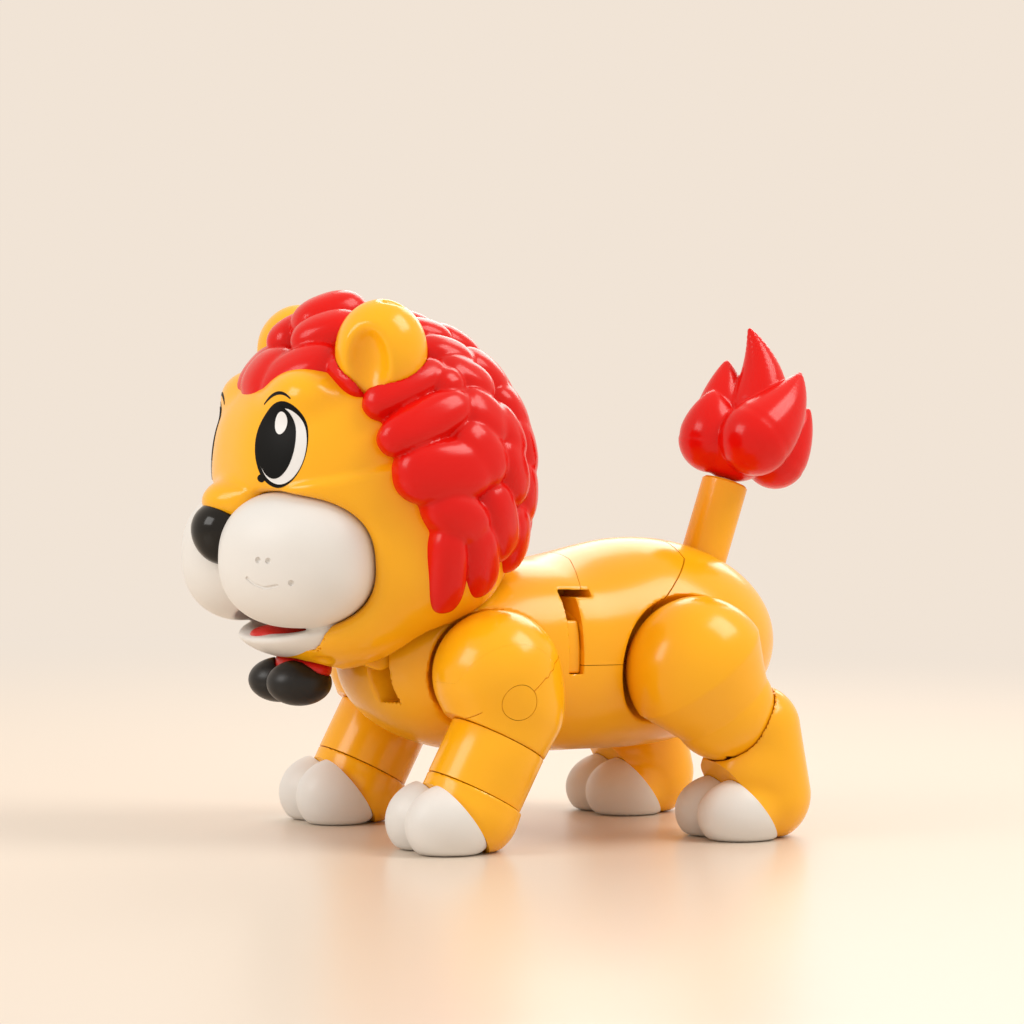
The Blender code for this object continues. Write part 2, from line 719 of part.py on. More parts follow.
def thigh_hull(hip, knee, grow=0.0):
    """Egg of the thigh: round at the hip, smaller at the knee."""
    bm = bmesh.new()
    add_ellipsoid(bm, hip, (HIP_HALF_WIDTH, HIP_RADIUS, HIP_RADIUS), grow)
    add_ellipsoid(bm, knee, (KNEE_HALF_WIDTH, KNEE_RADIUS, KNEE_RADIUS), grow)
    hull(bm)
    return bm


def hind_leg(side, label, torso):
    """Thigh, knee pin, shin with its foot, and toes of one hind leg."""
    hip = Pivot(f"hip_{label}", (HIP_X * side, HIP_Y, HIP_Z), torso)
    knee = Pivot(f"knee_{label}", (HIP_X * side, KNEE_Y, KNEE_Z), hip)
    reach = HIP_X + HIP_HALF_WIDTH + WALL
    tongue_low = HIP_X - KNEE_TONGUE_HALF
    tongue_high = HIP_X + KNEE_TONGUE_HALF
    shin_top = Vector((SHIN_X * side, SHIN_TOP_Y, SHIN_TOP_Z))
    neck = (shin_top - knee.point) * KNEE_SLOT_REACH

    thigh = piece(f"thigh_{label}", thigh_hull(hip.point, knee.point), YELLOW)
    low_x, high_x = sorted((0.0, THIGH_INNER_X * side))
    pin_end = HIP_X + KNEE_HALF_WIDTH - KNEE_COVER
    slot_x = sorted(((tongue_low - GAP) * side, (tongue_high + GAP) * side))
    bm = bmesh.new()
    add_rod(bm, (slot_x[0], KNEE_Y, KNEE_Z), (slot_x[1], KNEE_Y, KNEE_Z), KNEE_TONGUE_RADIUS + SWEEP_GAP)
    for degrees in KNEE_BEND:
        spin = Matrix.Rotation(math.radians(degrees), 3, "X")
        far = knee.point + spin @ Vector((0.0, neck.y, neck.z))
        add_rod(bm, (slot_x[0], far.y, far.z), (slot_x[1], far.y, far.z), KNEE_TONGUE_RADIUS + SWEEP_GAP)
    hull(bm)
    cut(
        thigh,
        box_guide(f"thigh_flat_{label}", (low_x, -BEYOND, -BEYOND), (high_x, BEYOND, BEYOND)),
        guide(f"thigh_slot_{label}", bm),
        side_rod(f"thigh_pin_{label}", side, 0.0, pin_end + GAP, KNEE_Y, KNEE_Z, KNEE_PIN_RADIUS + GAP),
        side_rod(
            f"thigh_axle_{label}", side, 0.0, THIGH_INNER_X + HIP_AXLE_DEPTH, HIP_Y, HIP_Z, AXLE_RADIUS + GAP
        ),
    )
    hip.carry(thigh)

    bm = bmesh.new()
    pin_start = HIP_X - KNEE_HALF_WIDTH + KNEE_COVER
    add_rod(bm, (pin_start * side, KNEE_Y, KNEE_Z), (pin_end * side, KNEE_Y, KNEE_Z), KNEE_PIN_RADIUS)
    hip.carry(piece(f"knee_pin_{label}", bm, STEEL, 0.3, 1.0))

    bm = bmesh.new()
    add_ellipsoid(bm, shin_top, SHIN_TOP_RADII)
    add_ellipsoid(bm, (SHIN_X * side, HEEL_Y, HEEL_Z), HEEL_RADII)
    add_ellipsoid(bm, (SHIN_X * side, FOOT_Y, FOOT_Z), FOOT_RADII)
    hull(bm)
    shin = piece(f"shin_{label}", bm, YELLOW)
    toe_centre = Vector((SHIN_X * side, HIND_TOE_Y, HIND_TOE_Z))
    seam = Vector((SHIN_X * side, HIND_TOE_SEAM_Y, HIND_TOE_SEAM_Z))
    trim_paw(shin, seam, label, "hind")
    saddle = side_rod(f"shin_saddle_{label}", side, 0.0, reach, KNEE_Y, KNEE_Z, KNEE_RADIUS + SWEEP_GAP)
    cut(shin, saddle, solver="MANIFOLD")
    bm = bmesh.new()
    near, far = sorted((tongue_low * side, tongue_high * side))
    add_rod(bm, (near, KNEE_Y, KNEE_Z), (far, KNEE_Y, KNEE_Z), KNEE_TONGUE_RADIUS)
    add_rod(bm, (near, shin_top.y, shin_top.z), (far, shin_top.y, shin_top.z), KNEE_TONGUE_RADIUS / 2)
    hull(bm)
    join(shin, guide(f"shin_tongue_{label}", bm), solver="MANIFOLD")
    bore = side_rod(f"shin_bore_{label}", side, 0.0, reach, KNEE_Y, KNEE_Z, KNEE_PIN_RADIUS + GAP)
    cut(shin, bore, solver="MANIFOLD")
    knee.carry(shin)
    knee.carry(toe_cap(f"hind_toes_{label}", toe_centre, HIND_TOE_RADII, seam))
    return hip


def forearm_fan(side):
    """Hull of the forearm's places through the whole swing of shoulder and elbow."""
    shoulder = Vector((SHOULDER_X * side, SHOULDER_Y, SHOULDER_Z))
    elbow = Vector((SHOULDER_X * side, ELBOW_Y, ELBOW_Z))
    ring = Vector((FOREARM_X * side, FOREARM_RING_Y, FOREARM_RING_Z))
    axis = forearm_axis()
    bm = bmesh.new()
    for swing in SHOULDER_SWING:
        for bend in ELBOW_BEND:
            turn_elbow = Matrix.Rotation(math.radians(bend), 3, "X")
            turn_shoulder = Matrix.Rotation(math.radians(swing), 3, "X")
            ends = []
            for end in (ring - axis * KNUCKLE_STEM, ring + axis * FOREARM_LENGTH):
                bent = elbow + turn_elbow @ (end - elbow)
                ends.append(shoulder + turn_shoulder @ (bent - shoulder))
            add_rod(bm, *ends, FOREARM_RADIUS + SWEEP_GAP)
    hull(bm)
    return bm


def thigh_fan(side):
    """Hull of the thigh's places through the hip's swing."""
    hip = Vector((HIP_X * side, HIP_Y, HIP_Z))
    knee = Vector((HIP_X * side, KNEE_Y, KNEE_Z))
    bm = bmesh.new()
    add_ellipsoid(bm, hip, (HIP_HALF_WIDTH, HIP_RADIUS, HIP_RADIUS), SWEEP_GAP)
    for swing in HIP_SWING:
        place = hip + Matrix.Rotation(math.radians(swing), 3, "X") @ (knee - hip)
        add_ellipsoid(bm, place, (KNEE_HALF_WIDTH, KNEE_RADIUS, KNEE_RADIUS), SWEEP_GAP)
    hull(bm)
    return bm


def leg_sweeps(side, label):
    """Room that one side's legs need in the torso through their whole swing."""
    shoulder = Vector((SHOULDER_X * side, SHOULDER_Y, SHOULDER_Z))
    return [
        ellipsoid_guide(f"bulb_room_{label}", shoulder, (SHOULDER_RADIUS,) * 3, SWEEP_GAP),
        guide(f"forearm_room_{label}", forearm_fan(side)),
        guide(f"thigh_room_{label}", thigh_fan(side)),
    ]


def torso_shells(table, torso):
    """Chest shell with the belly, saddle shell and rump cover, with their sockets and slots."""
    high = BEYOND
    slot_rear = SLOT_FRONT_Y + SLOT_WIDTH
    saddle_front = SADDLE_Y - SADDLE_LEAD
    rump_corner = (CROUP_Y, CROUP_Z - RUMP_CORNER_DROP)
    rump_low = (HIP_Y - RUMP_LEAD, HIP_Z + HIP_RADIUS * RUMP_SOCKET_SHARE)
    under = BELLY_Z - RUMP_UNDER_DROP
    saddle_outline = [
        (saddle_front, high), (saddle_front, SADDLE_Z - SADDLE_DROP),
        (slot_rear + SADDLE_SHOULDER, SLOT_TOP_Z), (slot_rear, SLOT_TOP_Z - SLOT_ARM_HEIGHT),
        (slot_rear, SADDLE_LOWER_Z), (HIP_Y, SADDLE_LOWER_Z),
        rump_low, rump_corner, (CROUP_Y, high),
    ]
    rump_outline = [
        (CROUP_Y, high), rump_corner, rump_low, (HIP_Y, SADDLE_LOWER_Z),
        (HIP_Y + RUMP_UNDERCUT, under), (high, under), (high, high),
    ]
    hollow = guide("torso_hollow", torso_mesh(table, WALL))
    sweeps = leg_sweeps(1, "left") + leg_sweeps(-1, "right")
    half_gap = GAP / 2

    def region(name, outline, grow):
        return prism_guide(name, offset_outline(outline, grow), -high, high)

    saddle_room = region("saddle_room", saddle_outline, half_gap)
    rump_room = region("rump_room", rump_outline, half_gap)
    chest = piece("chest_shell", torso_mesh(table), YELLOW)
    cut(chest, hollow, saddle_room, rump_room)
    cut(chest, *sweeps, solver="MANIFOLD")
    saddle = piece("saddle_shell", torso_mesh(table), YELLOW)
    cut(saddle, hollow)
    keep(saddle, region("saddle_part", saddle_outline, -half_gap))
    cut(saddle, *sweeps)
    rump = piece("rump_cover", torso_mesh(table), YELLOW)
    cut(rump, hollow)
    keep(rump, region("rump_part", rump_outline, -half_gap))
    cut(rump, *sweeps)

    for side, label in ((1, "left"), (-1, "right")):
        near, far = sorted((TORSO_HALF_WIDTH / 2 * side, TORSO_HALF_WIDTH * 2 * side))
        slot = box_guide(f"slot_{label}", (near, SLOT_FRONT_Y, SLOT_BOTTOM_Z), (far, slot_rear, SLOT_TOP_Z))
        arm = box_guide(
            f"slot_arm_{label}", (near, slot_rear - GAP, SLOT_TOP_Z - SLOT_ARM_HEIGHT),
            (far, slot_rear + SLOT_ARM_LENGTH, SLOT_TOP_Z),
        )
        for shell in (chest, saddle):
            cut(shell, slot, arm, solver="MANIFOLD")
        cut(chest, *chest_slots(side, label), solver="MANIFOLD")
    for shell in (chest, saddle, rump):
        torso.carry(shell)
    return chest, saddle, rump


def latch(side, label, table, torso):
    """Sliding latch whose tab shows in the side slot, kept in by a wider flange behind the wall."""
    slide = Pivot(f"latch_slide_{label}", (0.0, SLOT_FRONT_Y, SLOT_BOTTOM_Z), torso)
    top = SLOT_BOTTOM_Z + LATCH_HEIGHT
    inner = min(
        torso_half_width(table, y, z)
        for y in (SLOT_FRONT_Y - LATCH_LIP, SLOT_FRONT_Y + SLOT_WIDTH + LATCH_LIP)
        for z in (SLOT_BOTTOM_Z, SLOT_TOP_Z + LATCH_LIP)
    ) - WALL - SWEEP_GAP
    face = torso_half_width(table, SLOT_FRONT_Y, (SLOT_BOTTOM_Z + top) / 2) - LATCH_RECESS
    bm = bmesh.new()
    x_low, x_high = sorted(((inner - LATCH_FLANGE) * side, inner * side))
    y_front = SLOT_FRONT_Y - LATCH_LIP
    y_rear = SLOT_FRONT_Y + SLOT_WIDTH + LATCH_LIP
    add_box(bm, (x_low, y_front, SLOT_BOTTOM_Z - LATCH_LIP), (x_high, y_rear, top))
    made = piece(f"side_latch_{label}", bm, YELLOW)
    x_low, x_high = sorted(((inner - LATCH_FLANGE / 2) * side, face * side))
    tab = box_guide(
        f"latch_tab_{label}", (x_low, SLOT_FRONT_Y + GAP, SLOT_BOTTOM_Z + GAP),
        (x_high, SLOT_FRONT_Y + SLOT_WIDTH - GAP, top),
    )
    join(made, tab)
    slide.carry(made)


def yoke_arm_points(grow):
    """Centre points, in (y, z), of a yoke arm from the nod axis to the head, lengthened by a clearance."""
    return ((NOD_Y, NOD_Z), (YOKE_BEND_Y, YOKE_BEND_Z), (YOKE_TIP_Y - grow, YOKE_TIP_Z))


def bar_outline(points, half):
    """Outline of a bent bar of half width half along (y, z) points."""
    run = [Vector(point) for point in points]
    steps = [(end - start).normalized() for start, end in zip(run, run[1:])]
    normals = [Vector((-step.y, step.x)) for step in steps]
    left = []
    for i, point in enumerate(run):
        before = normals[max(i - 1, 0)]
        after = normals[min(i, len(normals) - 1)]
        left.append((before + after) / (1.0 + before.dot(after)) * half)
    upper = [tuple(point + away) for point, away in zip(run, left)]
    lower = [tuple(point - away) for point, away in zip(run, left)]
    return upper + lower[::-1]


def yoke_arm(name, side, grow, half, degrees=0.0):
    """A yoke arm as a bent bar, grown by a clearance and rocked about the nod axis."""
    spin = Matrix.Rotation(math.radians(degrees), 2)
    centre = Vector((NOD_Y, NOD_Z))
    outline = [
        tuple(centre + spin @ (Vector(point) - centre))
        for point in bar_outline(yoke_arm_points(grow), YOKE_ARM_RADIUS + grow)
    ]
    return prism_guide(name, outline, *sorted(((YOKE_ARM_X - half) * side, (YOKE_ARM_X + half) * side)))


def chest_slots(side, label):
    """Curved slot in the chest that a yoke arm rocks in."""
    return [
        yoke_arm(f"chest_slot_{label}_{i}", side, GAP, CHEST_SLOT_HALF + i * GAP / 4, degrees)
        for i, degrees in enumerate((0.0, *NOD_RANGE))
    ]


def neck_yoke(head):
    """Cross bar on the nod axis with an arm each side that carries the head."""
    bm = bmesh.new()
    add_rod(bm, (-YOKE_ARM_X, NOD_Y, NOD_Z), (YOKE_ARM_X, NOD_Y, NOD_Z), YOKE_BAR_RADIUS)
    yoke = piece("neck_yoke", bm, YELLOW)
    for side, label in ((1, "left"), (-1, "right")):
        join(yoke, yoke_arm(f"yoke_arm_{label}", side, 0.0, YOKE_ARM_HALF))
    head.carry(yoke)


def frame_and_axles(table, torso):
    """Spine frame with its bosses and posts, both axles, the friction washers and the screws."""
    boss_half = ARM_INNER_X - WASHER_THICKNESS - 2 * GAP
    frame_z = (SHOULDER_Z + HIP_Z) / 2
    bm = bmesh.new()
    add_box(
        bm, (-FRAME_HALF_WIDTH, NOD_Y, frame_z - FRAME_HEIGHT / 2),
        (FRAME_HALF_WIDTH, HIP_Y, frame_z + FRAME_HEIGHT / 2),
    )
    frame = piece("spine_frame", bm, GREY, 0.5)
    for name, y, z in (("shoulder", SHOULDER_Y, SHOULDER_Z), ("hip", HIP_Y, HIP_Z)):
        join(frame, rod_guide(f"{name}_boss", (-boss_half, y, z), (boss_half, y, z), FRAME_BOSS_RADIUS))
    bar = (FRAME_HALF_WIDTH, NOD_Y, NOD_Z)
    join(frame, rod_guide("yoke_bearing", (-FRAME_HALF_WIDTH, *bar[1:]), bar, YOKE_BAR_RADIUS + WALL))
    join(frame, box_guide(
        "yoke_web", (-FRAME_HALF_WIDTH, NOD_Y - YOKE_BAR_RADIUS, frame_z),
        (FRAME_HALF_WIDTH, NOD_Y + YOKE_BAR_RADIUS, NOD_Z),
    ))
    tools = [rod_guide("yoke_bore", (-BEYOND, *bar[1:]), (BEYOND, *bar[1:]), YOKE_BAR_RADIUS + GAP)]
    for name, y, z in (("shoulder", SHOULDER_Y, SHOULDER_Z), ("hip", HIP_Y, HIP_Z)):
        tools.append(rod_guide(f"{name}_axle_bore", (-BEYOND, y, z), (BEYOND, y, z), AXLE_RADIUS + GAP))
    heads = []
    for name, y in (("front", FRONT_SCREW_Y), ("rear", REAR_SCREW_Y)):
        centre, tall, _ = torso_section(table, y)
        belly = centre - tall
        seat = belly + WALL + POST_LIFT
        post = rod_guide(f"{name}_post", (0.0, y, seat), (0.0, y, frame_z), POST_RADIUS)
        join(frame, post, solver="MANIFOLD")
        bottom = belly + SCREW_HEAD_DEPTH / 4
        bm = bmesh.new()
        add_rod(bm, (0.0, y, bottom), (0.0, y, bottom + SCREW_LENGTH), SCREW_RADIUS)
        screw = piece(f"belly_screw_{name}", bm, STEEL, 0.35, 1.0)
        join(screw, rod_guide(
            f"{name}_screw_head", (0.0, y, bottom), (0.0, y, bottom + SCREW_HEAD_DEPTH), SCREW_HEAD_RADIUS
        ))
        torso.carry(screw)
        shank = rod_guide(
            f"{name}_screw_hole", (0.0, y, bottom), (0.0, y, bottom + SCREW_LENGTH + GAP), SCREW_RADIUS + GAP
        )
        recess = rod_guide(
            f"{name}_screw_recess", (0.0, y, belly - WALL), (0.0, y, bottom + SCREW_HEAD_DEPTH + GAP),
            SCREW_HEAD_RADIUS + GAP,
        )
        tools.append(shank)
        heads.extend((shank, recess))
    cut(frame, *tools)
    torso.carry(frame)

    for name, y, z, inner, depth in (
        ("shoulder", SHOULDER_Y, SHOULDER_Z, ARM_INNER_X, ARM_PLATE),
        ("hip", HIP_Y, HIP_Z, THIGH_INNER_X, HIP_AXLE_DEPTH),
    ):
        end = inner + depth - GAP
        bm = bmesh.new()
        add_rod(bm, (-end, y, z), (end, y, z), AXLE_RADIUS)
        torso.carry(piece(f"{name}_axle", bm, STEEL, 0.3, 1.0))
        for side, label in ((1, "left"), (-1, "right")):
            bm = bmesh.new()
            start = inner - GAP - WASHER_THICKNESS
            add_rod(bm, (start * side, y, z), ((inner - GAP) * side, y, z), WASHER_RADIUS)
            washer = piece(f"{name}_washer_{label}", bm, BLACK, 0.6)
            bore = rod_guide(
                f"{name}_washer_bore_{label}", (-BEYOND, y, z), (BEYOND, y, z), AXLE_RADIUS + GAP
            )
            cut(washer, bore)
            torso.carry(washer)
    return heads


def head_forms(grow):
    """The four rounded forms that blend into the face, as centre and radii, grown on every side."""
    forms = (
        ("cranium", (0.0, CRANIUM_Y, CRANIUM_Z), CRANIUM_RADII),
        ("jowl", (0.0, JOWL_Y, JOWL_Z), JOWL_RADII),
        ("chin", (0.0, CHIN_Y, CHIN_Z), CHIN_RADII),
        ("snout", (0.0, SNOUT_Y, SNOUT_Z), SNOUT_RADII),
    )
    return [(name, centre, tuple(radius + grow for radius in radii)) for name, centre, radii in forms]


def head_mesh(grow):
    """The cranium alone, grown on every side."""
    _, centre, radii = head_forms(grow)[0]
    bm = bmesh.new()
    add_ellipsoid(bm, centre, radii, 0.0, None, HEAD_SEGMENTS, HEAD_RINGS)
    return bm


def join_head_forms(target, prefix, grow):
    """Join the jowls, chin and snout to the cranium."""
    for i, (name, centre, radii) in enumerate(head_forms(grow)[1:], start=1):
        join(target, ellipsoid_guide(f"{prefix}_{name}", centre, radii, 0.0, i, HEAD_SEGMENTS, HEAD_RINGS))


def head_pieces(head, table):
    """Face shell, muzzle, nose, tongue, ears and mane."""
    neck = ellipsoid_guide("neck_room", (0.0, NOD_Y, NOD_Z), (NECK_RADIUS,) * 3, 0.0, 7)
    nose_room = ellipsoid_guide("nose_room", (0.0, NOSE_Y, NOSE_Z), NOSE_RADII, GAP, 0)
    tongue_room = ellipsoid_guide("tongue_room", (0.0, TONGUE_Y, TONGUE_Z), TONGUE_RADII, GAP, 0)
    head_room = guide("head_room", head_mesh(GAP))
    join_head_forms(head_room, "head_room", GAP)
    mouth = ellipsoid_guide("mouth", (0.0, MOUTH_Y, MOUTH_Z), MOUTH_RADII, 0.0, 4)

    face = piece("face_shell", head_mesh(0.0), YELLOW)
    join_head_forms(face, "face", 0.0)
    for i, (name, centre, radii) in enumerate(head_forms(-HEAD_WALL)[:2], start=5):
        cut(face, ellipsoid_guide(f"face_hollow_{name}", centre, radii, 0.0, i))
    arms = [
        yoke_arm(f"yoke_room_{label}", side, GAP, YOKE_ARM_HALF + GAP)
        for side, label in ((1, "left"), (-1, "right"))
    ]
    cut(face, neck, nose_room, tongue_room, *arms)

    bm = bmesh.new()
    add_ellipsoid(bm, (CHEEK_X, CHEEK_Y, CHEEK_Z), CHEEK_RADII)
    muzzle = piece("muzzle", bm, WHITE, 0.4)
    join(
        muzzle,
        ellipsoid_guide("cheek_right", (-CHEEK_X, CHEEK_Y, CHEEK_Z), CHEEK_RADII, 0.0, 2),
        ellipsoid_guide("lip", (0.0, LIP_Y, LIP_Z), LIP_RADII, 0.0, 3),
    )
    cut(muzzle, mouth, head_room, nose_room, tongue_room)

    bm = bmesh.new()
    add_ellipsoid(bm, (0.0, NOSE_Y, NOSE_Z), NOSE_RADII)
    nose = piece("nose", bm, BLACK, 0.15)
    bm = bmesh.new()
    add_ellipsoid(bm, (0.0, TONGUE_Y, TONGUE_Z), TONGUE_RADII)
    tongue = piece("tongue", bm, RED, 0.4)

    ears = []
    ear_rooms = []
    for side, label in ((1, "left"), (-1, "right")):
        centre = Vector((EAR_X * side, EAR_Y, EAR_Z))
        bm = bmesh.new()
        add_ellipsoid(bm, centre, EAR_RADII)
        ear = piece(f"ear_{label}", bm, YELLOW)
        scoop = centre + Vector((0.0, -EAR_RADII[1], 0.0))
        cut(ear, head_room, ellipsoid_guide(f"ear_scoop_{label}", scoop, (EAR_SCOOP,) * 3))
        ears.append(ear)
        ear_rooms.append(ellipsoid_guide(f"ear_room_{label}", centre, EAR_RADII, GAP, 0))

    mane = mane_piece()
    bulb_rooms = [
        ellipsoid_guide(
            f"mane_bulb_room_{label}", (SHOULDER_X * side, SHOULDER_Y, SHOULDER_Z),
            (SHOULDER_RADIUS,) * 3, MANE_CLEARANCE,
        )
        for side, label in ((1, "left"), (-1, "right"))
    ]
    back_room = guide("back_room", torso_mesh(table, -MANE_CLEARANCE))
    cut(mane, head_room, *ear_rooms, neck, back_room, *bulb_rooms)

    screws = []
    for side, label in ((1, "left"), (-1, "right")):
        screws.append(head_screw(side, label, face, mane))
    for made in (face, muzzle, nose, tongue, *ears, mane, *screws):
        head.carry(made)
    return face, muzzle, mane


def head_screw(side, label, face, mane):
    """Screw from inside the face shell into the mane."""
    x = HEAD_SCREW_X * side
    share = (HEAD_SCREW_X / CRANIUM_RADII[0]) ** 2 + ((HEAD_SCREW_Z - CRANIUM_Z) / CRANIUM_RADII[2]) ** 2
    back = CRANIUM_Y + CRANIUM_RADII[1] * math.sqrt(1.0 - share)
    start = back - HEAD_WALL - SCREW_HEAD_DEPTH - GAP
    end = start + SCREW_LENGTH
    bm = bmesh.new()
    add_rod(bm, (x, start, HEAD_SCREW_Z), (x, end, HEAD_SCREW_Z), SCREW_RADIUS)
    screw = piece(f"mane_screw_{label}", bm, STEEL, 0.35, 1.0)
    join(screw, rod_guide(
        f"mane_screw_head_{label}", (x, start, HEAD_SCREW_Z), (x, start + SCREW_HEAD_DEPTH, HEAD_SCREW_Z),
        SCREW_HEAD_RADIUS,
    ))
    hole = rod_guide(
        f"mane_screw_hole_{label}", (x, start, HEAD_SCREW_Z), (x, end + GAP, HEAD_SCREW_Z), SCREW_RADIUS + GAP
    )
    seat = rod_guide(
        f"mane_screw_seat_{label}", (x, start - HEAD_WALL, HEAD_SCREW_Z),
        (x, start + SCREW_HEAD_DEPTH + GAP, HEAD_SCREW_Z), SCREW_HEAD_RADIUS + GAP,
    )
    cut(face, hole, seat)
    cut(mane, hole)
    return screw


def mane_lock(name, lock, side, facet):
    """A rounded lock whose back touches the mane's outer envelope."""
    x, y, z, half_length, half_width, lean, rise = lock
    centre = Vector((0.0, MANE_Y, MANE_Z))
    away = Vector((x * side, y, z)) - centre
    radii = MANE_RADII if away.z > 0.0 else (*MANE_RADII[:2], MANE_SKIRT)
    place = centre + away / Vector([away[k] / radii[k] for k in range(3)]).length
    normal = Vector([away[k] / radii[k] ** 2 for k in range(3)]).normalized()
    back = Vector((0.0, 1.0, 0.0))
    back = (back - normal * normal.y).normalized()
    up = normal.cross(back)
    up = up if up.z >= 0.0 else -up
    run = back * math.cos(math.radians(lean)) + up * math.sin(math.radians(lean))
    share, least = LOCK_THICKNESS
    thickness = share * half_width + least
    turn = Matrix((run.cross(normal), run, normal)).transposed()
    bm = bmesh.new()
    lobe = (half_width, half_length, thickness)
    add_ellipsoid(bm, place - normal * (thickness - rise), lobe, 0.0, turn, LOBE_SEGMENTS, LOBE_RINGS, facet)
    return guide(name, bm)


def mane_piece():
    """Cap round the back of the head, covered in rounded locks, with a crest of locks between the ears."""
    centre = Vector((0.0, MANE_Y, MANE_Z))
    bm = bmesh.new()
    add_ellipsoid(bm, centre, MANE_RADII, -MANE_CAP_DEPTH, None, HEAD_SEGMENTS, HEAD_RINGS, 6)
    mane = piece("mane", bm, RED, 0.25)
    tilt = Matrix.Rotation(MANE_TILT, 3, "X")
    edge = Vector((0.0, MANE_FRONT_Y, MANE_Z))
    along = tilt @ Vector((0.0, 0.0, BEYOND))
    ahead = tilt @ Vector((0.0, -BEYOND, 0.0))
    front = [edge - along, edge + along, edge + along + ahead, edge - along + ahead]
    cut(mane, prism_guide("mane_front", [(point.y, point.z) for point in front], -BEYOND, BEYOND))
    locks = [mane_lock(f"lock_{i}_middle", lock, 1, i) for i, lock in enumerate(MIDDLE_LOCKS)]
    for side, label in ((1, "left"), (-1, "right")):
        for i, lock in enumerate(SIDE_LOCKS):
            locks.append(mane_lock(f"lock_{i}_{label}", lock, side, i + side))
    join(mane, guide_group("mane_locks", locks))
    return mane


def helmet_pieces(head, face, muzzle):
    """Helmet of two lobes with its band, folded up on a pin under the chin."""
    fold = Pivot("helmet_fold", (0.0, HELMET_PIN_Y, HELMET_PIN_Z), head)
    bm = bmesh.new()
    add_ellipsoid(bm, (HELMET_X, HELMET_Y, HELMET_Z), HELMET_RADII)
    helmet = piece("helmet", bm, BLACK, 0.4)
    join(helmet, ellipsoid_guide("helmet_second", (-HELMET_X, HELMET_Y, HELMET_Z), HELMET_RADII, 0.0, 2))
    bm = bmesh.new()
    add_ellipsoid(bm, (0.0, BAND_Y, BAND_Z), BAND_RADII)
    band = piece("helmet_band", bm, RED, 0.35)
    band_room = ellipsoid_guide("band_room", (0.0, BAND_Y, BAND_Z), BAND_RADII, GAP)
    cut(helmet, band_room)
    pin_reach = BAND_RADII[0]
    ends = ((-pin_reach, HELMET_PIN_Y, HELMET_PIN_Z), (pin_reach, HELMET_PIN_Y, HELMET_PIN_Z))
    bm = bmesh.new()
    add_rod(bm, *ends, HELMET_PIN_RADIUS)
    pin = piece("helmet_pin", bm, STEEL, 0.3, 1.0)
    pin_room = rod_guide("helmet_pin_room", *ends, HELMET_PIN_RADIUS + GAP)
    knuckle_ends = [(x / 2, y, z) for x, y, z in ends]
    join(band, rod_guide("band_knuckle", *knuckle_ends, HELMET_KNUCKLE))
    cut(band, pin_room)
    rooms = [
        ellipsoid_guide("helmet_room_left", (HELMET_X, HELMET_Y, HELMET_Z), HELMET_RADII, GAP),
        ellipsoid_guide("helmet_room_right", (-HELMET_X, HELMET_Y, HELMET_Z), HELMET_RADII, GAP),
        ellipsoid_guide("helmet_band_room", (0.0, BAND_Y, BAND_Z), BAND_RADII, GAP),
        rod_guide("helmet_knuckle_room", *((x + math.copysign(GAP, x), y, z) for x, y, z in knuckle_ends),
                  HELMET_KNUCKLE + GAP),
    ]
    swept = [turned(room, f"{room.name}_open", fold.point, HELMET_FOLD[1]) for room in rooms]
    pocket = guide_group("helmet_pocket", rooms + swept)
    cut(face, pin_room, pocket)
    cut(muzzle, pocket)
    head.carry(pin)
    fold.carry(helmet)
    fold.carry(band)


def tail_axis():
    """Direction of the tail rod, up and back."""
    return Vector((0.0, math.sin(TAIL_LEAN), math.cos(TAIL_LEAN)))


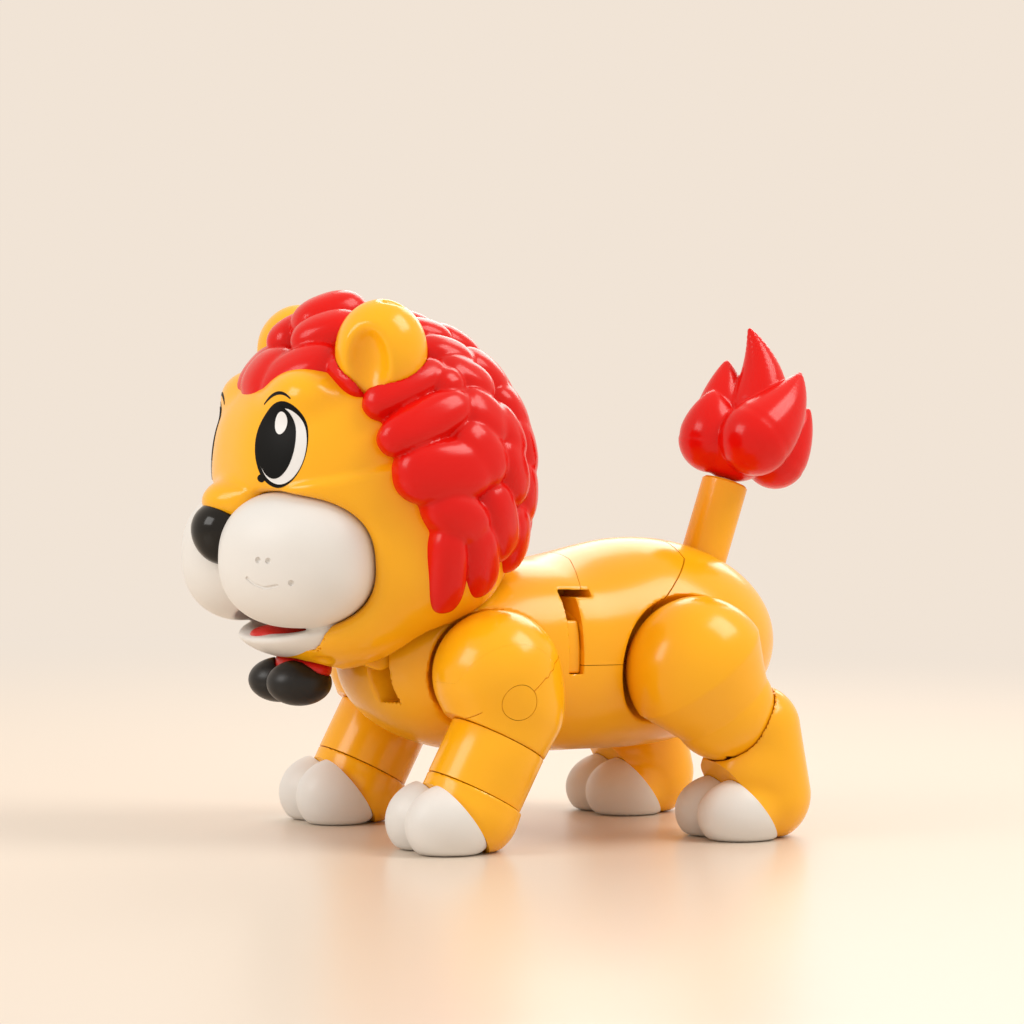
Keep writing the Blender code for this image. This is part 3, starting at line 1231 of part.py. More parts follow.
def tail_pieces(torso, rump):
    """Tail rod, the collar that keeps it in the rump, and the flame-shaped tuft."""
    axis = tail_axis()
    base = Vector((0.0, TAIL_BASE_Y, TAIL_BASE_Z))
    turn = Pivot("tail_turn", base, torso)
    root = base - axis * TAIL_ROOT
    top = base + axis * TAIL_LENGTH
    bm = bmesh.new()
    add_rod(bm, root, top, TAIL_RADIUS)
    rod = piece("tail_rod", bm, YELLOW)
    spigot = axis * SPIGOT_LENGTH
    join(rod, rod_guide("tail_spigot", top - spigot, top + spigot, SPIGOT_RADIUS - WALL))
    cut(rump, rod_guide("tail_hole", root, top, TAIL_RADIUS + GAP))

    bm = bmesh.new()
    add_rod(bm, root, root + axis * COLLAR_THICKNESS, COLLAR_RADIUS)
    collar = piece("tail_collar", bm, GREY, 0.5)
    cut(collar, rod_guide("collar_bore", root - axis * WALL, top, TAIL_RADIUS + GAP))

    crown = base + axis * TUFT_RISE
    bm = bmesh.new()
    add_ellipsoid(bm, crown, (TUFT_LOBE_RADIUS,) * 3, 0.0, None, LOBE_SEGMENTS, LOBE_RINGS)
    bm.verts.new(crown + axis * TUFT_CROWN_RISE)
    hull(bm)
    tuft = piece("tail_tuft", bm, RED, 0.25)
    side_axis = Vector((1.0, 0.0, 0.0))
    rear_axis = axis.cross(side_axis)
    flames = []
    for i in range(TUFT_LOBES):
        angle = math.tau * (i + 0.5) / TUFT_LOBES
        out = side_axis * math.cos(angle) + rear_axis * math.sin(angle)
        bm = bmesh.new()
        place = crown + out * TUFT_SPREAD - axis * TUFT_LOBE_RADIUS / 3
        add_ellipsoid(bm, place, (TUFT_LOBE_RADIUS,) * 3, 0.0, None, LOBE_SEGMENTS, LOBE_RINGS, i + 1)
        bm.verts.new(crown + out * TUFT_TIP_SPREAD + axis * TUFT_TIP_RISE)
        hull(bm)
        flames.append(guide(f"flame_{i}", bm))
    join(tuft, guide_group("tuft_flames", flames))
    cut(
        tuft,
        rod_guide("tuft_seat", root, top + axis * GAP, TAIL_RADIUS + GAP),
        rod_guide("tuft_socket", root, top + axis * (SPIGOT_LENGTH + GAP), SPIGOT_RADIUS - WALL + GAP),
    )
    turn.carry(rod)
    turn.carry(collar)
    turn.carry(tuft)


def main():
    clear_scene()
    table = torso_table()
    torso = Pivot("torso", (0.0, 0.0, 0.0))
    chest, _, rump = torso_shells(table, torso)
    screw_holes = frame_and_axles(table, torso)
    cut(chest, *screw_holes, solver="MANIFOLD")
    for side, label in ((1, "left"), (-1, "right")):
        front_leg(side, label, torso)
        hind_leg(side, label, torso)
        latch(side, label, table, torso)
    head = Pivot("head_nod", (0.0, NOD_Y, NOD_Z), torso)
    neck_yoke(head)
    face, muzzle, _ = head_pieces(head, table)
    helmet_pieces(head, face, muzzle)
    tail_pieces(torso, rump)


main()
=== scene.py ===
"""Looks of a posable toy lion: moulded skins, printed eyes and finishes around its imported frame.

Sizes are millimetres in the frame's axes: the lion faces -Y, its left side is +X, and +Z is up.
"""

import logging
import math
from dataclasses import dataclass
from enum import Enum
from typing import Callable, Iterable, Sequence

import bmesh
import bpy
import numpy as np
from mathutils import Matrix, Vector


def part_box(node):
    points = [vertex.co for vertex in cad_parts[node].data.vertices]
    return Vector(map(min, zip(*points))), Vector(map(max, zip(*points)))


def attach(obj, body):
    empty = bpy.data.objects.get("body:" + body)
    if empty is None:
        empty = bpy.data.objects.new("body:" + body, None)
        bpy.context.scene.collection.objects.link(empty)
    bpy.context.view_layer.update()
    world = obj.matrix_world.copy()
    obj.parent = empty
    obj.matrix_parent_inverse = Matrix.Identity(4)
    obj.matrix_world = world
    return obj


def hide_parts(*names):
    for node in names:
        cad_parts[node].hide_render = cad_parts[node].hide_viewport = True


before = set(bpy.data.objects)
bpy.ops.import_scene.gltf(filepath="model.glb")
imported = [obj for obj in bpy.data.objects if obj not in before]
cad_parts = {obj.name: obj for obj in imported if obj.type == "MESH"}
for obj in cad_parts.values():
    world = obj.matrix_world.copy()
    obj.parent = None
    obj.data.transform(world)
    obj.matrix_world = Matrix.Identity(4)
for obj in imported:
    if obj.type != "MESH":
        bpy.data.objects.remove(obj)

LOG = logging.getLogger("lion")
MM = 0.001
FAR = 60.0
BEYOND = 2 * FAR
SEAM = 0.15
SOCKET_GAP = 1.1
NUDGE = 1e-6
FINE_SIDES = 96
Triple = tuple[float, float, float]
Pair = tuple[float, float]
Piece = bpy.types.Object
Node = bpy.types.Node
Tree = bpy.types.NodeTree
LEFT: Triple = (1.0, 0.0, 0.0)
RIGHT: Triple = (-1.0, 0.0, 0.0)
UP: Triple = (0.0, 0.0, 1.0)
DOWN: Triple = (0.0, 0.0, -1.0)


def least(a: np.ndarray, b: np.ndarray, soft: float) -> np.ndarray:
    """Lesser of two distances, rounded where they meet.

    Args:
        a: Distances to one solid.
        b: Distances to the other solid.
        soft: Width of the rounded meeting, or 0 for a crease.

    Returns:
        Distances to both solids together.
    """
    low = np.minimum(a, b)
    if soft <= 0.0:
        return low
    share = np.maximum(soft - np.abs(a - b), 0.0) / soft
    return low - share * share * soft / 4


@dataclass(frozen=True)
class Form:
    """A solid given by its distance field: negative inside, positive outside."""

    reach: Callable[[np.ndarray], np.ndarray]

    def __call__(self, points: np.ndarray) -> np.ndarray:
        """Distances of the points from the solid's skin."""
        return self.reach(points)

    def blend(self, *others: "Form", soft: float = 0.0) -> "Form":
        """Join other solids to this one.

        Args:
            others: Solids to join.
            soft: Width of the fillet between them.

        Returns:
            The joined solid.
        """

        def reach(points: np.ndarray) -> np.ndarray:
            """Distance to the joined solid.

            Args:
                points: Places to measure.

            Returns:
                Their distances.
            """
            found = self(points)
            for other in others:
                found = least(found, other(points), soft)
            return found

        return Form(reach)

    def carve(self, *tools: "Form", edge: float = 0.0) -> "Form":
        """Cut solids away from this one.

        Args:
            tools: Solids to cut away.
            edge: Rounding of the lips that the cut leaves.

        Returns:
            What is left.
        """

        def reach(points: np.ndarray) -> np.ndarray:
            """Distance to what is left.

            Args:
                points: Places to measure.

            Returns:
                Their distances.
            """
            found = self(points)
            for tool in tools:
                found = -least(-found, tool(points), edge)
            return found

        return Form(reach)

    def keep(self, region: "Form", edge: float = 0.0) -> "Form":
        """Keep what lies in a region.

        Args:
            region: Solid whose inside is kept.
            edge: Rounding of the new edges.

        Returns:
            The part inside the region.
        """
        return Form(lambda points: -least(-self(points), -region(points), edge))

    def grow(self, amount: float) -> "Form":
        """The same solid, thicker on every side."""
        return Form(lambda points: self(points) - amount)

    def both_sides(self) -> "Form":
        """The solid together with its mirror image across the middle plane."""
        return Form(lambda points: self(np.abs(points) * (1, 0, 0) + points * (0, 1, 1)))

    def paired(self, soft: float) -> "Form":
        """The solid joined to its mirror image, with a fillet between them."""
        return self.blend(Form(lambda points: self(points * (-1, 1, 1))), soft=soft)

    def turned(self, pivot: Triple, degrees: float) -> "Form":
        """The solid swung about an X axis.

        Args:
            pivot: Point on the axis.
            degrees: Swing.

        Returns:
            The swung solid.
        """
        turn = np.array(Matrix.Rotation(math.radians(degrees), 3, "X"))
        return Form(lambda points: self((points - pivot) @ turn + pivot))


def egg(centre: Triple, radii: Triple, turn: np.ndarray | None = None, power: float = 2.0) -> Form:
    """An ellipsoid, or a boxier solid of the same half lengths.

    Args:
        centre: Its middle.
        radii: Its half lengths.
        turn: Its own axes as the columns of a matrix.
        power: 2 for an ellipsoid, more for fuller corners.

    Returns:
        The solid.
    """
    middle, size = np.array(centre) + NUDGE, np.array(radii)

    def reach(points: np.ndarray) -> np.ndarray:
        """Distance to the ellipsoid, close near its skin.

        Args:
            points: Places to measure.

        Returns:
            Their distances.
        """
        away = points - middle
        if turn is not None:
            away = away @ turn
        if power == 2.0:
            near = np.linalg.norm(away / size, axis=1)
            return near * (near - 1) / np.linalg.norm(away / size**2, axis=1)
        share = np.abs(away / size)
        near = (share**power).sum(axis=1) ** (1 / power)
        slope = (share / near[:, None]) ** (power - 1) / size
        return (near - 1) / np.linalg.norm(slope, axis=1)

    return Form(reach)


def taper(start: Triple, end: Triple, first: float, last: float) -> Form:
    """A round-ended bar whose radius changes along its length.

    Args:
        start: Middle of one end.
        end: Middle of the other end.
        first: Radius at the start.
        last: Radius at the end.

    Returns:
        The solid.
    """
    base, run = np.array(start), np.array(end) - np.array(start)

    def reach(points: np.ndarray) -> np.ndarray:
        """Distance to the bar.

        Args:
            points: Places to measure.

        Returns:
            Their distances.
        """
        away = points - base
        along = np.clip(away @ run / (run @ run), 0.0, 1.0)
        return np.linalg.norm(away - along[:, None] * run, axis=1) - first - (last - first) * along

    return Form(reach)


def rod(start: Triple, end: Triple, radius: float) -> Form:
    """A flat-ended round bar.

    Args:
        start: Middle of one end.
        end: Middle of the other end.
        radius: Its radius.

    Returns:
        The solid.
    """
    base, run = np.array(start), np.array(end) - np.array(start)
    length = float(np.linalg.norm(run))
    run = run / length

    def reach(points: np.ndarray) -> np.ndarray:
        """Distance to the bar, taken as its largest overshoot.

        Args:
            points: Places to measure.

        Returns:
            Their distances.
        """
        away = points - base
        along = away @ run
        out = np.linalg.norm(away - along[:, None] * run, axis=1) - radius
        return np.maximum(out, np.maximum(-along, along - length))

    return Form(reach)


def block(low: Triple, high: Triple, edge: float = 0.0) -> Form:
    """A box with rounded edges.

    Args:
        low: Lowest corner.
        high: Highest corner.
        edge: Radius of its edges.

    Returns:
        The solid.
    """
    middle = (np.array(low) + np.array(high)) / 2
    half = (np.array(high) - np.array(low)) / 2 - edge

    def reach(points: np.ndarray) -> np.ndarray:
        """Distance to the box.

        Args:
            points: Places to measure.

        Returns:
            Their distances.
        """
        over = np.abs(points - middle) - half
        outside = np.linalg.norm(np.maximum(over, 0.0), axis=1)
        return outside + np.minimum(over.max(axis=1), 0.0) - edge

    return Form(reach)


def side_of(point: Triple, outward: Triple) -> Form:
    """Everything on one side of a plane.

    Args:
        point: A point of the plane.
        outward: Direction that leaves the solid side.

    Returns:
        The half space.
    """
    normal = np.array(outward) / np.linalg.norm(outward)
    return Form(lambda points: (points - point) @ normal)


def bent_bar(route: Sequence[Pair], half: float, middle_x: float, half_x: float) -> Form:
    """A flat bar along a bent route in a plane of constant X.

    Args:
        route: Its centre line as (y, z) points.
        half: Half its height across the route.
        middle_x: Middle of its thickness.
        half_x: Half its thickness.

    Returns:
        The solid.
    """
    spots = [np.array(spot) for spot in route]

    def reach(points: np.ndarray) -> np.ndarray:
        """Distance to the bar.

        Args:
            points: Places to measure.

        Returns:
            Their distances.
        """
        found = np.full(len(points), FAR)
        for start, end in zip(spots, spots[1:]):
            run = end - start
            away = points[:, 1:] - start
            along = np.clip(away @ run / (run @ run), 0.0, 1.0)
            found = np.minimum(found, np.linalg.norm(away - along[:, None] * run, axis=1))
        return np.maximum(found - half, np.abs(points[:, 0] - middle_x) - half_x)

    return Form(reach)


def cluster(lobes: Sequence[tuple[np.ndarray, float, Form]], soft: float) -> Form:
    """Many lobes joined into one solid.

    Args:
        lobes: Middle, outer radius and solid of each lobe.
        soft: Width of the fillets between lobes.

    Returns:
        The joined solid, exact within a short way of the lobes.
    """
    margin = 9.0

    def reach(points: np.ndarray) -> np.ndarray:
        """Distance to the lobes, each worked out only near it.

        Args:
            points: Places to measure.

        Returns:
            Their distances.
        """
        found = np.full(len(points), FAR)
        for middle, radius, lobe in lobes:
            near = np.square(points - middle).sum(axis=1) < (radius + margin) ** 2
            if near.any():
                found[near] = least(found[near], lobe(points[near]), soft)
        return found

    return Form(reach)


class Moulder:
    """Turns forms into closed meshes of even quads."""

    BLOCK = 8
    NEAR = 1.7
    SLOPE = 0.02
    FLATTEST = 0.25
    ROUNDS = 2
    BATCH = 400
    COARSER = 1.6
    CORNERS = np.array([(i, j, k) for i in (0, 1) for j in (0, 1) for k in (0, 1)])
    EDGES = [(a, b) for a in range(8) for b in range(a + 1, 8) if bin(a ^ b).count("1") == 1]

    def __init__(self, form: Form, low: Sequence[float], high: Sequence[float], step: float) -> None:
        """Set up the grid.

        Args:
            form: Solid to mesh.
            low: Lowest corner of a box that holds it.
            high: Highest corner of that box.
            step: Size of a quad.
        """
        self.form = form
        self.step = step * 1.0
        self.low = np.array(low) - 2 * self.step
        span = (np.array(high) + 2 * self.step - self.low) / (self.BLOCK * self.step)
        self.blocks = np.ceil(span).astype(int)

    def place(self, index: np.ndarray) -> np.ndarray:
        """Where grid points lie, from their indices."""
        return self.low + (index + 0.5) * self.step

    def measure(self) -> np.ndarray:
        """Distances at every grid point, worked out only in blocks near the skin.

        Returns:
            A grid of distances.
        """
        size = self.BLOCK
        index = np.argwhere(np.ones(self.blocks, bool))
        rough = self.form(self.low + (index + 0.5) * size * self.step).reshape(self.blocks)
        values = rough
        for axis in range(3):
            values = np.repeat(values, size, axis)
        near = np.argwhere(np.abs(rough) < size * self.step * self.NEAR) * size
        inner = np.argwhere(np.ones((size,) * 3, bool))
        for part in np.array_split(near, max(1, len(near) // self.BATCH)):
            spots = (part[:, None] + inner).reshape(-1, 3)
            values[tuple(spots.T)] = self.form(self.place(spots))
        return values

    def settle(self, points: np.ndarray) -> np.ndarray:
        """Move points onto the form's skin.

        Args:
            points: Points close to the skin.

        Returns:
            The moved points.
        """
        for _ in range(self.ROUNDS):
            reach = self.form(points)
            steps = np.eye(3) * self.SLOPE
            slope = np.stack([(self.form(points + step) - reach) / self.SLOPE for step in steps], axis=1)
            steep = np.maximum((slope**2).sum(axis=1), self.FLATTEST)
            move = slope * (reach / steep)[:, None]
            points = points - np.clip(move, -self.step / 2, self.step / 2)
        return points

    def mesh(self, name: str) -> Piece:
        """Make the mesh.

        Args:
            name: Name of the new object.

        Returns:
            The object, in metres and shaded smooth.
        """
        values = self.measure()
        solid = values < 0
        cell_shape = np.array(values.shape) - 1
        total = np.zeros(cell_shape, np.int8)
        for i, j, k in self.CORNERS:
            total += solid[i:i + cell_shape[0], j:j + cell_shape[1], k:k + cell_shape[2]]
        mixed = (total > 0) & (total < len(self.CORNERS))
        cells = np.argwhere(mixed)
        number = np.full(cell_shape, -1, np.int32)
        number[mixed] = np.arange(len(cells))
        corner = np.stack([values[tuple((cells + shift).T)] for shift in self.CORNERS], axis=1)
        where = np.zeros((len(cells), 3))
        count = np.zeros(len(cells))
        for a, b in self.EDGES:
            cross = (corner[:, a] < 0) != (corner[:, b] < 0)
            gap = np.where(cross, corner[:, a] - corner[:, b], 1.0)
            share = np.where(cross, corner[:, a] / gap, 0.0)[:, None]
            spot = self.CORNERS[a] + share * (self.CORNERS[b] - self.CORNERS[a])
            where += np.where(cross[:, None], spot, 0.0)
            count += cross
        points = self.settle(self.place(cells + where / count[:, None]))
        faces = []
        for axis in range(3):
            step, u, v = np.roll(np.eye(3, dtype=int), -axis, axis=0)
            ends = tuple(slice(None, -1) if k == axis else slice(1, -1) for k in range(3))
            start = np.argwhere(solid[ends] != np.roll(solid, -1, axis)[ends]) + (1 - step)
            quad = np.stack([number[tuple((start - shift).T)] for shift in (u + v, v, 0 * u, u)], axis=1)
            outward = solid[tuple(start.T)]
            faces.append(np.where(outward[:, None], quad, quad[:, ::-1]))
        return mesh_object(name, points, np.concatenate(faces))


def mesh_object(name: str, points: np.ndarray, faces: Iterable[Sequence[int]]) -> Piece:
    """Put a mesh into the scene.

    Args:
        name: Name of the object.
        points: Corners in millimetres.
        faces: Corner numbers of each face.

    Returns:
        The object, in metres and shaded smooth.
    """
    mesh = bpy.data.meshes.new(name)
    rows = faces.tolist() if isinstance(faces, np.ndarray) else list(faces)
    mesh.from_pydata((np.asarray(points) * MM).tolist(), [], rows)
    mesh.validate()
    mesh.shade_smooth()
    made = bpy.data.objects.new(name, mesh)
    bpy.context.scene.collection.objects.link(made)
    return made


def mould(name: str, form: Form, nodes: Sequence[str], step: float, margin: float = 4.0) -> Piece:
    """Mesh a form in the room of the frame's nodes.

    Args:
        name: Name of the object.
        form: Solid to mesh.
        nodes: Frame nodes whose boxes, together, hold it.
        step: Size of a quad.
        margin: Room around the boxes.

    Returns:
        The object.
    """
    corners = [np.array(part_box(node)) / MM for node in nodes]
    low = np.min([low for low, _ in corners], axis=0) - margin
    high = np.max([high for _, high in corners], axis=0) + margin
    return Moulder(form, low, high, step).mesh(name)


def lathe(name: str, start: Triple, axis: Triple, profile: Sequence[Pair], sides: int = 72) -> Piece:
    """A turned piece.

    Args:
        name: Name of the object.
        start: Point on the axis from which heights count.
        axis: Direction of the axis.
        profile: (radius, height) points from one end to the other, first and last on the axis.
        sides: Facets round the axis.

    Returns:
        The object.
    """
    turn = np.array(Vector(axis).to_track_quat("Z", "Y").to_matrix())
    angles = np.arange(sides) * math.tau / sides
    rings = [
        np.stack([radius * np.cos(angles), radius * np.sin(angles), np.full(sides, height)], axis=1)
        for radius, height in profile[1:-1]
    ]
    ends = np.array([(0.0, 0.0, profile[0][1]), (0.0, 0.0, profile[-1][1])])
    points = np.concatenate([*rings, ends]) @ turn.T + np.array(start)
    last = len(rings) * sides
    faces: list[tuple[int, ...]] = []
    for k in range(sides):
        n = (k + 1) % sides
        faces.append((last, n, k))
        for ring in range(len(rings) - 1):
            low, high = ring * sides, (ring + 1) * sides
            faces.append((low + k, low + n, high + n, high + k))
        faces.append((last + 1, last - sides + k, last - sides + n))
    return sharpen(mesh_object(name, points, faces))


def prism(name: str, outline: Sequence[Pair], low_x: float, high_x: float) -> Piece:
    """A cutter with a (y, z) outline, drawn out along X.

    Args:
        name: Name of the object.
        outline: Its corners in order.
        low_x: Where it starts.
        high_x: Where it ends.

    Returns:
        The cutter.
    """
    count = len(outline)
    points = [(x, y, z) for x in (low_x, high_x) for y, z in outline]
    sides = [(k, (k + 1) % count, (k + 1) % count + count, k + count) for k in range(count)]
    made = mesh_object(name, np.array(points), [*sides, range(count)[::-1], range(count, 2 * count)])
    shape = bmesh.new()
    shape.from_mesh(made.data)
    bmesh.ops.recalc_face_normals(shape, faces=shape.faces)
    shape.to_mesh(made.data)
    shape.free()
    return made


class Cut(Enum):
    """What a cutter does to a piece."""

    AWAY = "DIFFERENCE"
    KEEP = "INTERSECT"
    JOIN = "UNION"


def trim(piece: Piece, cutter: Piece, how: Cut, spare: bool = False) -> Piece:
    """Cut a piece with another object.

    Args:
        piece: What is cut.
        cutter: What cuts it.
        how: What the cutter does.
        spare: Keep the cutter afterwards.

    Returns:
        The piece.
    """
    step = piece.modifiers.new("cut", "BOOLEAN")
    step.operation = how.value
    step.solver = "MANIFOLD"
    step.object = cutter
    graph = bpy.context.evaluated_depsgraph_get()
    mesh = bpy.data.meshes.new_from_object(piece.evaluated_get(graph))
    piece.modifiers.clear()
    old, piece.data = piece.data, mesh
    mesh.name = old.name
    bpy.data.meshes.remove(old)
    if not spare:
        bpy.data.objects.remove(cutter)
    return sharpen(piece)


def sharpen(piece: Piece, degrees: float = 42.0) -> Piece:
    """Shade a piece smooth, with its true edges kept crisp.

    Args:
        piece: The piece.
        degrees: Least angle of a true edge.

    Returns:
        The piece.
    """
    piece.data.shade_smooth()
    piece.data.set_sharp_from_angle(angle=math.radians(degrees))
    return piece


def copy_of(piece: Piece, name: str) -> Piece:
    """A copy of a piece under another name.

    Args:
        piece: The piece.
        name: Name of the copy.

    Returns:
        The copy.
    """
    made = bpy.data.objects.new(name, piece.data.copy())
    bpy.context.scene.collection.objects.link(made)
    return made


def mirror_of(piece: Piece, name: str) -> Piece:
    """A piece's mirror image across the middle plane.

    Args:
        piece: The left piece.
        name: Name of the right piece.

    Returns:
        The right piece.
    """
    made = copy_of(piece, name)
    made.data.transform(Matrix.Scale(-1.0, 4, LEFT))
    made.data.flip_normals()
    return made


def new_group(name: str, inputs: dict[str, str], outputs: dict[str, str]) -> bpy.types.ShaderNodeTree:
    """An empty shader node group.

    Args:
        name: Name of the group.
        inputs: Socket type of each input.
        outputs: Socket type of each output.

    Returns:
        The group, with its input and output nodes in place.
    """
    group = bpy.data.node_groups.new(name, "ShaderNodeTree")
    for in_out, sockets in (("INPUT", inputs), ("OUTPUT", outputs)):
        for label, kind in sockets.items():
            group.interface.new_socket(label, in_out=in_out, socket_type=f"NodeSocket{kind}")
    group.nodes.new("NodeGroupInput").name = "in"
    group.nodes.new("NodeGroupOutput").name = "out"
    return group


def add_node(tree: Tree, kind: str, **values: object) -> Node:
    """A node with its settings.

    Args:
        tree: Tree that it joins.
        kind: Its type, without the prefix.
        values: Its properties by name.

    Returns:
        The node.
    """
    node = tree.nodes.new(f"ShaderNode{kind}")
    for label, value in values.items():
        setattr(node, label, value)
    return node


def preset(node: Node, values: dict[str | int, object]) -> Node:
    """Set inputs of a node.

    Args:
        node: The node.
        values: Value of each input, by its name or number.

    Returns:
        The node.
    """
    for label, value in values.items():
        node.inputs[label].default_value = value
    return node


def wire(tree: Tree, *links: tuple[Node, str | int, Node, str | int]) -> None:
    """Link nodes of a tree.

    Args:
        tree: The tree.
        links: Node and output that each link leaves, then node and input that it enters.
    """
    for start, output, end, entry in links:
        tree.links.new(start.outputs[output], end.inputs[entry])


def noise(tree: Tree, scale: float, detail: float) -> Node:
    """A noise texture in the object's own coordinates.

    Args:
        tree: Tree that it joins.
        scale: Waves per metre.
        detail: Octaves.

    Returns:
        The noise node.
    """
    made = preset(add_node(tree, "TexNoise"), {"Scale": scale, "Detail": detail})
    wire(tree, (add_node(tree, "TexCoord"), "Object", made, "Vector"))
    return made


FLOW_WAVE, MARK_WAVE, PEEL_WAVE = (55.0, 3.0), (120.0, 5.0), (620.0, 2.0)
NOISE_MEAN = 0.5
PEEL_DEPTH = 0.2
COAT_SMOOTHER = 3
MIX_FIRST, MIX_SECOND, MIX_RESULT = 6, 7, 2


def moulded_skin() -> bpy.types.ShaderNodeTree:
    """Node group of a moulded surface: faint colour flow, handling marks and orange peel.

    Returns:
        The group, built once.
    """
    name = "moulded_skin"
    if name in bpy.data.node_groups:
        return bpy.data.node_groups[name]
    group = new_group(
        name,
        {"Colour": "Color", "Flow Colour": "Color", "Flow": "Float", "Roughness": "Float", "Marks": "Float"},
        {"Colour": "Color", "Roughness": "Float", "Height": "Float"},
    )
    source, result = group.nodes["in"], group.nodes["out"]
    flow, smudge, peel = (noise(group, *wave) for wave in (FLOW_WAVE, MARK_WAVE, PEEL_WAVE))
    share = add_node(group, "Math", operation="MULTIPLY")
    tint = add_node(group, "Mix", data_type="RGBA")
    centred = preset(add_node(group, "Math", operation="SUBTRACT"), {1: NOISE_MEAN})
    spread = add_node(group, "Math", operation="MULTIPLY_ADD", use_clamp=True)
    wire(
        group,
        (flow, "Fac", share, 0), (source, "Flow", share, 1), (share, 0, tint, "Factor"),
        (source, "Colour", tint, MIX_FIRST), (source, "Flow Colour", tint, MIX_SECOND),
        (tint, MIX_RESULT, result, "Colour"), (smudge, "Fac", centred, 0), (centred, 0, spread, 0),
        (source, "Marks", spread, 1), (source, "Roughness", spread, 2),
        (spread, 0, result, "Roughness"), (peel, "Fac", result, "Height"),
    )
    return group


@dataclass(frozen=True)
class Finish:
    """A finish of one colour with the fine variation of a moulded or turned surface."""

    name: str
    slot: str
    colour: Triple
    deep: Triple
    roughness: float
    flow: float = 0.35
    marks: float = 0.10
    peel: float = 0.05
    coat: float = 0.0
    metallic: float = 0.0
    shine: float = 0.35

    def material(self) -> bpy.types.Material:
        """The finish as a node material, built once.

        Returns:
            The material.
        """
        if self.name in bpy.data.materials:
            return bpy.data.materials[self.name]
        made = bpy.data.materials.new(self.name)
        made.use_nodes = True
        tree = made.node_tree
        skin = preset(add_node(tree, "Group", node_tree=moulded_skin()), {
            "Colour": (*self.colour, 1.0), "Flow Colour": (*self.deep, 1.0), "Flow": self.flow,
            "Roughness": self.roughness, "Marks": self.marks,
        })
        bump = preset(add_node(tree, "Bump"), {"Strength": self.peel, "Distance": PEEL_DEPTH * MM})
        shader = preset(tree.nodes["Principled BSDF"], {
            "Metallic": self.metallic, "Coat Weight": self.coat, "Specular IOR Level": self.shine,
            "Coat Roughness": self.roughness / COAT_SMOOTHER,
        })
        wire(
            tree,
            (skin, "Colour", shader, "Base Color"), (skin, "Roughness", shader, "Roughness"),
            (skin, "Height", bump, "Height"), (bump, "Normal", shader, "Normal"),
        )
        return made


YELLOW = Finish(
    "golden_plastic", "yellow_plastic", (0.95, 0.445, 0.006), (0.93, 0.41, 0.005), 0.22, coat=0.06, shine=0.36
)
RED = Finish(
    "crimson_plastic", "red_plastic", (0.72, 0.005, 0.002), (0.66, 0.003, 0.001), 0.22, coat=0.04, shine=0.25
)
WHITE = Finish("ivory_plastic", "white_plastic", (0.77, 0.745, 0.71), (0.73, 0.70, 0.66), 0.42, peel=0.08)
GLOSS_BLACK = Finish(
    "gloss_black", "black_gloss", (0.006, 0.005, 0.004), (0.010, 0.008, 0.006), 0.14, shine=0.3
)
SATIN_BLACK = Finish(
    "satin_black", "black_satin", (0.008, 0.007, 0.007), (0.012, 0.011, 0.010), 0.36, peel=0.10
)
SATIN_RED = Finish("satin_red", "red_satin", (0.60, 0.012, 0.007), (0.52, 0.009, 0.005), 0.36, peel=0.08)
PRINT_WHITE = Finish(
    "white_print", "white_plastic", (0.80, 0.79, 0.78), (0.77, 0.76, 0.75), 0.35, peel=0.03
)
PRINT_BLACK = Finish(
    "black_print", "black_gloss", (0.004, 0.004, 0.004), (0.006, 0.006, 0.006), 0.45, peel=0.03, shine=0.10
)
FRAME_GREY = Finish("frame_grey", "grey_plastic", (0.24, 0.24, 0.25), (0.20, 0.20, 0.21), 0.50, peel=0.12)
WASHER = Finish("dull_rubber", "washer_rubber", (0.03, 0.03, 0.03), (0.045, 0.044, 0.043), 0.75, peel=0.25)
STEEL = Finish(
    "turned_steel", "pin_steel", (0.56, 0.56, 0.58), (0.48, 0.48, 0.50), 0.30, metallic=1.0, peel=0.06
)


def dress(piece: Piece, finish: Finish, body: str, *nodes: str) -> None:
    """Give a piece its finish and its place in the frame.

    Args:
        piece: The piece.
        finish: Its finish.
        body: Body that it rides on.
        nodes: Frame nodes that it stands for.
    """
    piece.data.materials.clear()
    piece.data.materials.append(finish.material())
    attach(piece, body)
    if nodes:
        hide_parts(*nodes)
    LOG.info("%s on %s: %d faces", piece.name, body, len(piece.data.polygons))


def dress_pair(left: Piece, finish: Finish, body: str, node: str = "") -> None:
    """Dress a left piece and its mirror image.

    Args:
        left: The left piece, whose name ends in _left.
        finish: Finish of both.
        body: Body name, with {} where the side stands.
        node: Node name that they replace, with {} where the side stands.
    """
    right = mirror_of(left, left.name.removesuffix("left") + "right")
    sharpen(right)
    for side, piece in (("left", left), ("right", right)):
        dress(piece, finish, body.format(side), *([node.format(side)] if node else []))


